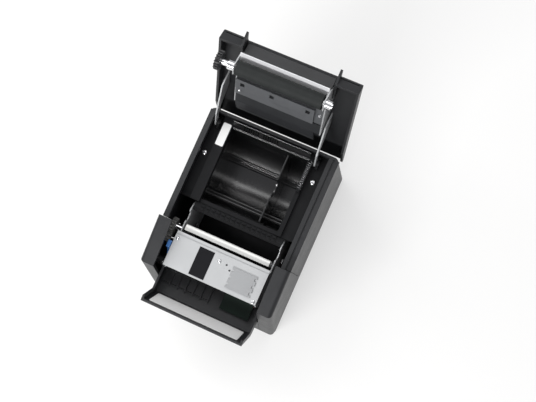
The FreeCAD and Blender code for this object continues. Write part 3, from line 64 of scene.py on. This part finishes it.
# Places in millimetres, lid and cover pieces as they lie when shut.
DECK_SCREWS = ((-63.7, 52, 96), (54.15, 67, 96))
CUTTER_SCREWS = ((0.5, -46, 107.8), (-49, -42, 107.8), (49, -70, 107.8))
BRACKET_SCREWS = ((-41, 20, 99.6), (42.5, 12, 102.2))
SPRING_FOOT = (44.4, 55, 103.6)
LEAD_ROUTE = ((-33, 88.4), (-5, 88.4), (23, 83), (51, 83))
RED_LANE, WHITE_LANE = -66.9, -65.1
STRIP_TOP = 100.0
STRIP_LABEL = ((-56.6, 64), (-47.6, 89))
HOOD_LABEL = ((-50, -71), (50, -40))
HOOD_FRONT, HOOD_FRONT_HEIGHT, HOOD_SLOPE, HOOD_WALL = -78.0, 119.0, 8 / 51, 2.5

# Sizes of the small pieces, in millimetres, and the steps that their curves have.
DECK_SCREW_RADIUS, CUTTER_SCREW_RADIUS, BRACKET_SCREW_RADIUS = 3.0, 1.9, 2.2
SCREW_RINGS, SCREW_SIDES, SCREW_SEED = 14, 48, 3
SPRING_TURNS = 13
SPRING_SIZES = {"Radius": 2.8, "Length": 30, "Wire": 0.5, "Reach": 0.7}
COIL_STEPS, HOOK_STEPS, WIRE_SIDES = 40, 12, 10
LEAD_RADIUS, LEAD_STEPS = 0.7, 16
LABEL_THICK = 0.12
STRIP_LABEL_CORNER, HOOD_LABEL_CORNER = 1.2, 2.0
LABEL_CORNER_STEPS = 6

# A screw head's edge, crown and cross recess, as shares of its radius.
HEAD_EDGE, HEAD_CROWN, HEAD_MIDDLE = 0.2, 0.42, 0.32
RECESS_REACH, RECESS_HALF_WIDTH, RECESS_DEPTH = 0.62, 0.15, 0.3

# Each socket's contacts: middle X, count, pitch and width.
CONTACTS = {"inlet_contacts": (-36.5, 3, 3.6, 1.0), "data_contacts": (-3.5, 4, 2.0, 0.8),
            "drawer_contacts": (32.0, 6, 1.9, 0.7)}
CONTACT_Y, CONTACT_Z = 91.0, 33.1
CONTACT_LENGTH, CONTACT_THICK = 6 * MM, 0.8 * MM

# How far edges look rounded, and how finely that is sampled.
MOULDED_EDGE, ROLLED_EDGE, EDGE_SAMPLES = 0.6 * MM, 0.2 * MM, 4

# Each lamp's place and size in metres and its power in watts. The strip in front draws the
# bright line along the bucket and its beads.
LAMPS = {
    "key": ((-0.9, 0.5, 1.1), (0.9, 0.9), 11),
    "top": ((0.1, 0.9, 1.5), (1.2, 0.8), 8),
    "bucket_glint": ((-0.19, -0.86, 0.84), (0.8, 0.1), 11),
}
LAMP_TARGET = Vector((0, 0.03, 0.08))
SKY_COLOUR, SKY_STRENGTH = (0.95, 0.96, 1, 1), 0.42
FLOOR_SIZE, FLOOR_GLOW = 12, 0.5


def new_finish(name, roughness, metallic=0.0):
    """A new material, its node tree and its shader."""
    material = bpy.data.materials.new(name)
    material.use_nodes = True
    tree = material.node_tree
    shader = tree.nodes["Principled BSDF"]
    shader.inputs["Roughness"].default_value = roughness
    shader.inputs["Metallic"].default_value = metallic
    return material, tree, shader


def noise(tree, scale, detail=3.0, stretch=(1, 1, 1)):
    """Noise on the object's own coordinates, stretched for brushed or drawn surfaces."""
    place = tree.nodes.new("ShaderNodeTexCoord")
    mapping = tree.nodes.new("ShaderNodeMapping")
    mapping.inputs["Scale"].default_value = stretch
    texture = tree.nodes.new("ShaderNodeTexNoise")
    texture.inputs["Scale"].default_value = scale
    texture.inputs["Detail"].default_value = detail
    tree.links.new(place.outputs["Object"], mapping.inputs["Vector"])
    tree.links.new(mapping.outputs["Vector"], texture.inputs["Vector"])
    return texture.outputs["Fac"]


def tint(tree, shader, factor, colour, spread):
    """Base colour that drifts a little lighter and darker about its own value."""
    ramp = tree.nodes.new("ShaderNodeValToRGB")
    ramp.color_ramp.elements[0].position = 0.3
    ramp.color_ramp.elements[1].position = 0.7
    for element, share in zip(ramp.color_ramp.elements, (1 - spread, 1 + spread)):
        element.color = [min(1.0, channel * share) for channel in colour] + [1]
    tree.links.new(factor, ramp.inputs["Fac"])
    tree.links.new(ramp.outputs["Color"], shader.inputs["Base Color"])


def sheen_patches(tree, shader, factor, low, high):
    """Roughness that wanders between two values."""
    spread = tree.nodes.new("ShaderNodeMapRange")
    spread.inputs["To Min"].default_value = low
    spread.inputs["To Max"].default_value = high
    tree.links.new(factor, spread.inputs["Value"])
    tree.links.new(spread.outputs["Result"], shader.inputs["Roughness"])


def relief(tree, shader, factor, depth, edge):
    """Fine surface relief of a real depth, over edges that are rounded by a real radius."""
    rounding = tree.nodes.new("ShaderNodeBevel")
    rounding.samples = EDGE_SAMPLES
    rounding.inputs["Radius"].default_value = edge
    bump = tree.nodes.new("ShaderNodeBump")
    bump.inputs["Distance"].default_value = depth
    tree.links.new(rounding.outputs["Normal"], bump.inputs["Normal"])
    tree.links.new(factor, bump.inputs["Height"])
    tree.links.new(bump.outputs["Normal"], shader.inputs["Normal"])


def moulded(name, colour, low, high, grain=1400, depth=0.06 * MM, spread=0.1, gloss=0.5):
    """Plastic with a spark-eroded grain."""
    material, tree, shader = new_finish(name, high)
    shader.inputs["Specular IOR Level"].default_value = gloss
    tint(tree, shader, noise(tree, 60), colour, spread)
    sheen_patches(tree, shader, noise(tree, 90), low, high)
    relief(tree, shader, noise(tree, grain, 2.0), depth, MOULDED_EDGE)
    return material


def rolled_metal(name, colour, low, high, stretch, depth=0.01 * MM, metallic=1.0):
    """Sheet or bar metal with drawing lines along one axis."""
    material, tree, shader = new_finish(name, high, metallic)
    tint(tree, shader, noise(tree, 25), colour, 0.05)
    sheen_patches(tree, shader, noise(tree, 900, 4.0, stretch), low, high)
    relief(tree, shader, noise(tree, 1500, 2.0, stretch), depth, ROLLED_EDGE)
    return material


def ground_edge(name, colour):
    """Ground steel that scatters light like a fine matt surface."""
    material, tree, shader = new_finish(name, 0.45, metallic=0.2)
    tint(tree, shader, noise(tree, 25), colour, 0.04)
    sheen_patches(tree, shader, noise(tree, 900, 4.0, (0.02, 1, 1)), 0.38, 0.5)
    return material


FINISHES = {
    "case_plastic": lambda: moulded("case_plastic", (0.017, 0.0175, 0.019), 0.36, 0.5, gloss=0.4),
    "foot_rubber": lambda: moulded("foot_rubber", (0.02, 0.02, 0.02), 0.75, 0.9, 700),
    "deck_plastic": lambda: moulded("deck_plastic", (0.007, 0.0072, 0.008), 0.46, 0.6, gloss=0.14),
    "guide_grey": lambda: moulded("guide_grey", (0.085, 0.088, 0.093), 0.4, 0.52),
    # The liner's dark grey is painted shade, standing in for the shaded gap between the liner and the guide
    # bar.
    "liner_painted_shade": lambda: moulded("liner_painted_shade", (0.022, 0.023, 0.025), 0.42, 0.54, gloss=0.3),
    "bucket_plastic": lambda: moulded("bucket_plastic", (0.004, 0.0041, 0.0045), 0.2, 0.26, 300, 0.002 * MM,
                                      gloss=1.0),
    "sheet_steel": lambda: rolled_metal("sheet_steel", (0.46, 0.466, 0.47), 0.5, 0.62, (0.05, 1, 1),
                                        metallic=0.5),
    # The frame bed's near-black colour is painted shade for the deep bed under the cutter, whose slot is
    # sheet steel.
    "bed_painted_shade": lambda: moulded("bed_painted_shade", (0.008, 0.008, 0.009), 0.5, 0.62, 1200, 0.02 * MM,
                                 gloss=0.15),
    # The cutter cap's darker copy of the sheet steel is painted shade that outlines the cap against the
    # cutter's cover.
    "cap_steel_painted_shade": lambda: rolled_metal("cap_steel_painted_shade", (0.34, 0.345, 0.35), 0.45, 0.56, (1, 0.05, 1),
                                      metallic=0.5),
    "turned_steel": lambda: rolled_metal("turned_steel", (0.8, 0.8, 0.81), 0.14, 0.24, (0.02, 1, 1)),
    "blade_steel": lambda: ground_edge("blade_steel", (0.82, 0.82, 0.83)),
    "head_white": lambda: moulded("head_white", (0.74, 0.74, 0.72), 0.3, 0.4, 900, 0.02 * MM, 0.03),
    "sink_aluminium": lambda: rolled_metal("sink_aluminium", (0.7, 0.71, 0.72), 0.3, 0.42, (1, 1, 0.05)),
    "motor_can": lambda: rolled_metal("motor_can", (0.45, 0.46, 0.48), 0.28, 0.4, (0.05, 1, 1)),
    "gear_black": lambda: moulded("gear_black", (0.025, 0.025, 0.026), 0.35, 0.45, 900),
    "gear_pale": lambda: moulded("gear_pale", (0.16, 0.158, 0.15), 0.35, 0.45, 900, 0.03 * MM, 0.04),
    "lever_blue": lambda: moulded("lever_blue", (0.05, 0.16, 0.42), 0.28, 0.38, 900, 0.02 * MM),
    "platen_rubber": lambda: moulded("platen_rubber", (0.016, 0.018, 0.0175), 0.6, 0.72, 1100, 0.04 * MM,
                                     gloss=0.25),
    "board_green": lambda: moulded("board_green", (0.004, 0.011, 0.007), 0.3, 0.42, 900, 0.02 * MM,
                                   gloss=0.2),
    "socket_black": lambda: moulded("socket_black", (0.022, 0.022, 0.024), 0.4, 0.5, 1000),
    "film_black": lambda: moulded("film_black", (0.008, 0.008, 0.0095), 0.4, 0.52, 300, 0.02 * MM,
                                  gloss=0.12),
    "lens_clear": lambda: moulded("lens_clear", (0.25, 0.45, 0.27), 0.08, 0.14, 300, 0.0, 0.03),
    "spring_black": lambda: rolled_metal("spring_black", (0.2, 0.2, 0.205), 0.2, 0.3, (1, 1, 1),
                                         metallic=0.9),
    "lead_insulation": lambda: moulded("lead_insulation", (0.5, 0.03, 0.03), 0.4, 0.5, 900, 0.02 * MM),
}

# Nodes whose surface differs from the rest of their slot. For the cutter's cap, the frame bed and the lid's
# liner, the darker colour is painted shade.
OWN_FINISH = {"cutter_cap": "cap_steel_painted_shade", "frame_bed": "bed_painted_shade", "lid_liner": "liner_painted_shade",
              "rear_louvre": "bucket_plastic"}


def dress_cad_nodes():
    """Gives every carried-over node its own finish, or that of its slot in the record."""
    made = {slot: make() for slot, make in FINISHES.items()}
    for subpart in frame["record"]["subparts"]:
        node = frame["nodes"][subpart["node"]]
        node.data.materials.clear()
        node.data.materials.append(made[OWN_FINISH.get(subpart["node"], subpart["material_slot"])])
    return made


def on_lid(x, y, z):
    """A point of the shut lid, in millimetres, carried to where the open lid has it."""
    return swung((x, y, z), LID_HINGE, -LID_OPEN)


def on_cover(x, y, z):
    """A point of the shut front cover, carried to where the open cover has it."""
    return swung((x, y, z), COVER_HINGE, COVER_OPEN)


def swung(spot, hinge, angle):
    """A point turned about a hinge line along X, in metres."""
    across, up = spot[1] - hinge[0], spot[2] - hinge[1]
    turned_y = hinge[0] + across * math.cos(angle) - up * math.sin(angle)
    turned_z = hinge[1] + across * math.sin(angle) + up * math.cos(angle)
    return Vector((spot[0], turned_y, turned_z)) * MM


def on_case(x, y, z):
    """A fixed point, in metres."""
    return Vector((x, y, z)) * MM


def new_piece(name, mesh, body, finish):
    """A finished piece at the origin, with its place in its mesh."""
    piece = bpy.data.objects.new(name, mesh)
    bpy.context.scene.collection.objects.link(piece)
    if finish:
        mesh.materials.clear()
        mesh.materials.append(finish)
    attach(piece, body)
    return piece


def mesh_from(name, form, smooth=False):
    """A mesh from a bmesh, with doubles merged and faces turned outwards."""
    bmesh.ops.remove_doubles(form, verts=form.verts, dist=1e-7)
    bmesh.ops.recalc_face_normals(form, faces=form.faces)
    mesh = bpy.data.meshes.new(name)
    form.to_mesh(mesh)
    form.free()
    if smooth:
        mesh.shade_smooth()
    return mesh


def label_mesh(name, low, high, level, thick, corner, place):
    """A thin bare label with rounded corners, lying on a surface that level() gives for each Y."""
    form = bmesh.new()
    ring = []
    for quarter in range(4):
        centre_x = (high[0] - corner) if quarter in (0, 3) else (low[0] + corner)
        centre_y = (high[1] - corner) if quarter in (0, 1) else (low[1] + corner)
        for step in range(LABEL_CORNER_STEPS + 1):
            turn = math.pi / 2 * (quarter + step / LABEL_CORNER_STEPS)
            ring.append((centre_x + corner * math.cos(turn), centre_y + corner * math.sin(turn)))
    lower = [form.verts.new(place(x, y, level(y))) for x, y in ring]
    upper = [form.verts.new(place(x, y, level(y) + thick)) for x, y in ring]
    form.faces.new(lower[::-1])
    form.faces.new(upper)
    count = len(ring)
    for i in range(count):
        after = (i + 1) % count
        form.faces.new((lower[i], lower[after], upper[after], upper[i]))
    return mesh_from(name, form)


def screw_head_mesh():
    """A pan-head screw with a cross recess, standing on the origin along Z, one millimetre in radius."""
    form = bmesh.new()
    rows = []
    for share in [i / SCREW_RINGS for i in range(1, SCREW_RINGS + 1)]:
        row = []
        for i in range(SCREW_SIDES):
            turn = 2 * math.pi * i / SCREW_SIDES
            x, y = share * math.cos(turn), share * math.sin(turn)
            height = HEAD_EDGE + HEAD_CROWN * math.sqrt(max(0.0, 1 - share ** 2.6))
            if share < RECESS_REACH and min(abs(x), abs(y)) < RECESS_HALF_WIDTH:
                height -= RECESS_DEPTH
            row.append(form.verts.new((x, y, height)))
        rows.append(row)
    rows.append([form.verts.new((v.co.x, v.co.y, 0)) for v in rows[-1]])
    centre = form.verts.new((0, 0, HEAD_MIDDLE))
    for i in range(SCREW_SIDES):
        after = (i + 1) % SCREW_SIDES
        form.faces.new((centre, rows[0][i], rows[0][after]))
        for inner, outer in zip(rows, rows[1:]):
            form.faces.new((inner[i], outer[i], outer[after], inner[after]))
    form.faces.new(rows[-1][::-1])
    return mesh_from("screw_head", form)


class Tree:
    """A geometry node tree under construction, with named inputs for its sizes."""

    def __init__(self, name):
        self.group = bpy.data.node_groups.new(name, "GeometryNodeTree")
        self.group.interface.new_socket("Geometry", in_out="OUTPUT", socket_type="NodeSocketGeometry")
        self.sockets = {}

    def input(self, name, kind="NodeSocketFloat"):
        self.sockets[name] = self.group.interface.new_socket(name, in_out="INPUT", socket_type=kind)

    def start(self):
        self.source = self.group.nodes.new("NodeGroupInput")

    def node(self, kind, **inputs):
        made = self.group.nodes.new(kind)
        for name, value in inputs.items():
            self.join(value, made.inputs[name.replace("_", " ")])
        return made

    def join(self, value, socket):
        if isinstance(value, bpy.types.NodeSocket):
            self.group.links.new(value, socket)
        else:
            socket.default_value = value

    def read(self, name):
        return self.source.outputs[name]

    def combine(self, x=0.0, y=0.0, z=0.0):
        return self.node("ShaderNodeCombineXYZ", X=x, Y=y, Z=z).outputs[0]

    def end(self, geometry, finish):
        real = self.node("GeometryNodeRealizeInstances", Geometry=geometry)
        painted = self.node("GeometryNodeSetMaterial", Geometry=real.outputs[0], Material=finish)
        result = self.group.nodes.new("NodeGroupOutput")
        self.group.links.new(painted.outputs[0], result.inputs[0])


def grown(tree, name, mesh, values):
    """The plain mesh that a tree makes on a host mesh with these input values."""
    host = bpy.data.objects.new(name, mesh)
    bpy.context.scene.collection.objects.link(host)
    modifier = host.modifiers.new("grow", "NODES")
    modifier.node_group = tree.group
    for key, value in values.items():
        modifier[tree.sockets[key].identifier] = value
    depsgraph = bpy.context.evaluated_depsgraph_get()
    result = bpy.data.meshes.new_from_object(host.evaluated_get(depsgraph))
    host.modifiers.remove(modifier)
    bpy.data.objects.remove(host)
    result.name = name
    return result


def spots_mesh(name, spots):
    """A mesh of loose points."""
    mesh = bpy.data.meshes.new(name)
    mesh.from_pydata([tuple(spot) for spot in spots], [], [])
    return mesh


def screw_tree(finish):
    """Screw heads on a host's points, each turned a little differently about its own axis."""
    tree = Tree("screws")
    tree.input("Geometry", "NodeSocketGeometry")
    tree.input("Head", "NodeSocketObject")
    tree.input("Radius")
    tree.input("Tilt")
    tree.start()
    head = tree.node("GeometryNodeObjectInfo", Object=tree.read("Head"))
    spin = tree.node("FunctionNodeRandomValue", Seed=SCREW_SEED)
    spin.inputs[3].default_value = math.pi / 2
    turn = tree.combine(x=tree.read("Tilt"), z=spin.outputs[1])
    rotation = tree.node("FunctionNodeEulerToRotation", Euler=turn).outputs[0]
    scale = tree.combine(tree.read("Radius"), tree.read("Radius"), tree.read("Radius"))
    heads = tree.node("GeometryNodeInstanceOnPoints", Points=tree.read("Geometry"),
                      Instance=head.outputs["Geometry"], Rotation=rotation, Scale=scale)
    tree.end(heads.outputs[0], finish)
    return tree


def fit_screws(finish):
    """The screws of the deck, the cutter's cover and the platen bracket."""
    tree = screw_tree(finish)
    head = bpy.data.objects.new("screw_head", screw_head_mesh())
    bpy.context.scene.collection.objects.link(head)
    rows = {
        "deck_screw_heads": ("case", [on_case(*spot) for spot in DECK_SCREWS], DECK_SCREW_RADIUS, 0.0),
        "cutter_screw_heads": ("cutter", [on_case(*spot) for spot in CUTTER_SCREWS], CUTTER_SCREW_RADIUS,
                               0.0),
        "bracket_screw_heads": ("lid", [on_lid(*spot) for spot in BRACKET_SCREWS], BRACKET_SCREW_RADIUS,
                                math.pi - LID_OPEN),
    }
    for name, (body, spots, radius, tilt) in rows.items():
        values = {"Head": head, "Radius": radius * MM, "Tilt": tilt}
        mesh = grown(tree, name, spots_mesh(name, spots), values)
        piece = new_piece(name, mesh, body, None)
        if name == "deck_screw_heads":
            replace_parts(piece, "deck_screws")
    bpy.data.objects.remove(head)


def wind_spring(finish):
    """The lid's coil spring with its end hooks, wound between the two pegs on the deck."""
    tree = Tree("coil")
    for name in ("Turns", "Radius", "Length", "Wire", "Reach"):
        tree.input(name)
    tree.start()
    coil = tree.node("GeometryNodeCurveSpiral", Rotations=tree.read("Turns"), Height=tree.read("Length"),
                     Start_Radius=tree.read("Radius"), End_Radius=tree.read("Radius"), Resolution=COIL_STEPS)
    top = tree.node("ShaderNodeMath")
    top.operation = "ADD"
    tree.join(tree.read("Length"), top.inputs[0])
    tree.join(tree.read("Reach"), top.inputs[1])
    under = tree.node("ShaderNodeMath")
    under.operation = "MULTIPLY"
    tree.join(tree.read("Reach"), under.inputs[0])
    under.inputs[1].default_value = -1.0
    parts = tree.group.nodes.new("GeometryNodeJoinGeometry")
    tree.group.links.new(coil.outputs[0], parts.inputs[0])
    for level, tip in ((0.0, under.outputs[0]), (tree.read("Length"), top.outputs[0])):
        hook = tree.node("GeometryNodeCurvePrimitiveBezierSegment", End=tree.combine(z=tip),
                         Start=tree.combine(x=tree.read("Radius"), z=level), Resolution=HOOK_STEPS)
        tree.join(tree.combine(x=tree.read("Radius"), z=tip), hook.inputs["Start Handle"])
        tree.join(tree.combine(z=level), hook.inputs["End Handle"])
        tree.group.links.new(hook.outputs[0], parts.inputs[0])
    section = tree.node("GeometryNodeCurvePrimitiveCircle", Radius=tree.read("Wire"), Resolution=WIRE_SIDES)
    tube = tree.node("GeometryNodeCurveToMesh", Curve=parts.outputs[0], Profile_Curve=section.outputs[0])
    tube.inputs["Fill Caps"].default_value = True
    tree.end(tube.outputs[0], finish)
    values = {name: length * MM for name, length in SPRING_SIZES.items()}
    values["Turns"] = SPRING_TURNS
    mesh = grown(tree, "lid_spring_coil", bpy.data.meshes.new("coil_host"), values)
    mesh.transform(Matrix.Translation(on_case(*SPRING_FOOT)) @ Matrix.Rotation(-math.pi / 2, 4, "X"))
    mesh.shade_smooth()
    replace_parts(new_piece("lid_spring_coil", mesh, "case", None), "lid_spring")


def contact_tree(finish):
    """A centred row of flat contacts along X."""
    tree = Tree("contacts")
    tree.input("Count", "NodeSocketInt")
    tree.input("Pitch")
    tree.input("Width")
    tree.start()
    row = tree.node("GeometryNodeMeshLine", Count=tree.read("Count"))
    tree.join(tree.combine(x=tree.read("Pitch")), row.inputs["Offset"])
    blade = tree.node("GeometryNodeMeshCube")
    tree.join(tree.combine(tree.read("Width"), CONTACT_LENGTH, CONTACT_THICK), blade.inputs["Size"])
    row_of = tree.node("GeometryNodeInstanceOnPoints", Points=row.outputs[0], Instance=blade.outputs[0])
    tree.end(row_of.outputs[0], finish)
    return tree


def fit_contacts(finish):
    """The flat contacts inside the three rear sockets."""
    tree = contact_tree(finish)
    for name, (centre, count, pitch, width) in CONTACTS.items():
        values = {"Count": count, "Pitch": pitch * MM, "Width": width * MM}
        mesh = grown(tree, name, bpy.data.meshes.new(name + "_host"), values)
        first = centre - pitch * (count - 1) / 2
        mesh.transform(Matrix.Translation(on_case(first, CONTACT_Y, CONTACT_Z)))
        new_piece(name, mesh, "case", None)


def run_leads(made):
    """The knife motor's pair of insulated leads, on one smooth line each."""
    leads = []
    lanes = (("lead_red", RED_LANE, made["lead_insulation"]), ("lead_white", WHITE_LANE, white_lead()))
    for name, lane, finish in lanes:
        curve = bpy.data.curves.new(name, "CURVE")
        curve.dimensions = "3D"
        curve.bevel_depth = LEAD_RADIUS * MM
        curve.bevel_resolution = 3
        spline = curve.splines.new("NURBS")
        spline.points.add(len(LEAD_ROUTE) - 1)
        for point, (x, z) in zip(spline.points, LEAD_ROUTE):
            point.co = (*on_case(x, lane, z), 1)
        spline.order_u = 4
        spline.use_endpoint_u = True
        spline.resolution_u = LEAD_STEPS
        route = bpy.data.objects.new(name + "_route", curve)
        bpy.context.scene.collection.objects.link(route)
        mesh = bpy.data.meshes.new_from_object(route.evaluated_get(bpy.context.evaluated_depsgraph_get()))
        bpy.data.objects.remove(route)
        mesh.shade_smooth()
        leads.append(new_piece(name, mesh, "case", finish))
    for lead in leads:
        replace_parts(lead, "motor_leads")


def white_lead():
    """The second lead's pale insulation."""
    return moulded("lead_white", (0.72, 0.71, 0.68), 0.4, 0.5, 900, 0.02 * MM, 0.04)


def stick_labels():
    """The bare labels on the deck's left strip and along the inside of the hood."""
    paper = moulded("label_paper", (0.8, 0.8, 0.79), 0.5, 0.6, 1800, 0.01 * MM, 0.02)
    strip = label_mesh("strip_label", *STRIP_LABEL, lambda y: STRIP_TOP, LABEL_THICK, STRIP_LABEL_CORNER,
                       on_case)
    new_piece("strip_label", strip, "case", paper)
    hood = label_mesh("hood_label", *HOOD_LABEL, hood_inside, -LABEL_THICK, HOOD_LABEL_CORNER, on_cover)
    new_piece("hood_label", hood, "cover", paper)


def hood_inside(y):
    """Height of the hood's inner roof with the cover shut."""
    return HOOD_FRONT_HEIGHT + HOOD_SLOPE * (y - HOOD_FRONT) - HOOD_WALL


def aim_camera():
    """The camera at the photo's viewing angle."""
    back = Vector((math.sin(VIEW_AZIMUTH) * math.cos(VIEW_ELEVATION),
                   -math.cos(VIEW_AZIMUTH) * math.cos(VIEW_ELEVATION), math.sin(VIEW_ELEVATION)))
    level = (-back).cross(Vector((0, 0, 1))).normalized()
    upright = level.cross(-back)
    right = level * math.cos(VIEW_ROLL) + upright * math.sin(VIEW_ROLL)
    up = upright * math.cos(VIEW_ROLL) - level * math.sin(VIEW_ROLL)
    data = bpy.data.cameras.new("photo_view")
    data.sensor_width = SENSOR_WIDTH
    data.lens = FOCAL_PIXELS / IMAGE_WIDTH * SENSOR_WIDTH
    data.clip_start = 0.05
    camera = bpy.data.objects.new("photo_view", data)
    place = VIEW_TARGET + back * VIEW_DISTANCE
    turn = Matrix((right, up, back)).transposed()
    camera.matrix_world = Matrix.Translation(place) @ turn.to_4x4()
    bpy.context.scene.collection.objects.link(camera)
    bpy.context.scene.camera = camera


def lay_floor():
    """A plain pale floor that keeps the object's shadow."""
    bpy.ops.mesh.primitive_plane_add(size=FLOOR_SIZE)
    floor = bpy.context.object
    floor.name = "floor"
    material, tree, shader = new_finish("floor", 0.9)
    tint(tree, shader, noise(tree, 2), (0.82, 0.815, 0.8), 0.01)
    glow_for_view(tree, shader)
    floor.data.materials.append(material)


def glow_for_view(tree, shader):
    """Lifts the floor towards white for what sees it directly or mirrored, and keeps its shadow."""
    path = tree.nodes.new("ShaderNodeLightPath")
    seen = path.outputs["Is Camera Ray"]
    for kind in ("Is Glossy Ray", "Is Transmission Ray"):
        either = tree.nodes.new("ShaderNodeMath")
        either.operation = "MAXIMUM"
        tree.links.new(seen, either.inputs[0])
        tree.links.new(path.outputs[kind], either.inputs[1])
        seen = either.outputs[0]
    share = tree.nodes.new("ShaderNodeMath")
    share.operation = "MULTIPLY"
    share.inputs[1].default_value = FLOOR_GLOW
    tree.links.new(seen, share.inputs[0])
    glow = tree.nodes.new("ShaderNodeEmission")
    glow.inputs["Strength"].default_value = 1.0
    mix = tree.nodes.new("ShaderNodeMixShader")
    tree.links.new(share.outputs[0], mix.inputs[0])
    tree.links.new(shader.outputs[0], mix.inputs[1])
    tree.links.new(glow.outputs[0], mix.inputs[2])
    tree.links.new(mix.outputs[0], tree.nodes["Material Output"].inputs["Surface"])


def hang_lamp(name, place, size, power):
    """A rectangular lamp that faces the printer."""
    data = bpy.data.lights.new(name, "AREA")
    data.shape = "RECTANGLE"
    data.size, data.size_y = size
    data.energy = power
    lamp = bpy.data.objects.new(name, data)
    lamp.location = place
    lamp.rotation_euler = (LAMP_TARGET - Vector(place)).to_track_quat("-Z", "Y").to_euler()
    bpy.context.scene.collection.objects.link(lamp)


def light_studio():
    """A soft key from the left, a broad top light, a strip in front and an even surround."""
    world = bpy.data.worlds.new("surround")
    world.use_nodes = True
    sky = world.node_tree.nodes["Background"]
    sky.inputs["Color"].default_value = SKY_COLOUR
    sky.inputs["Strength"].default_value = SKY_STRENGTH
    bpy.context.scene.world = world
    for name, (place, size, power) in LAMPS.items():
        hang_lamp(name, place, size, power)


bpy.context.scene.view_settings.view_transform = "Standard"
finishes = dress_cad_nodes()
fit_screws(finishes["turned_steel"])
wind_spring(finishes["spring_black"])
fit_contacts(finishes["turned_steel"])
run_leads(finishes)
stick_labels()
aim_camera()
lay_floor()
light_studio()
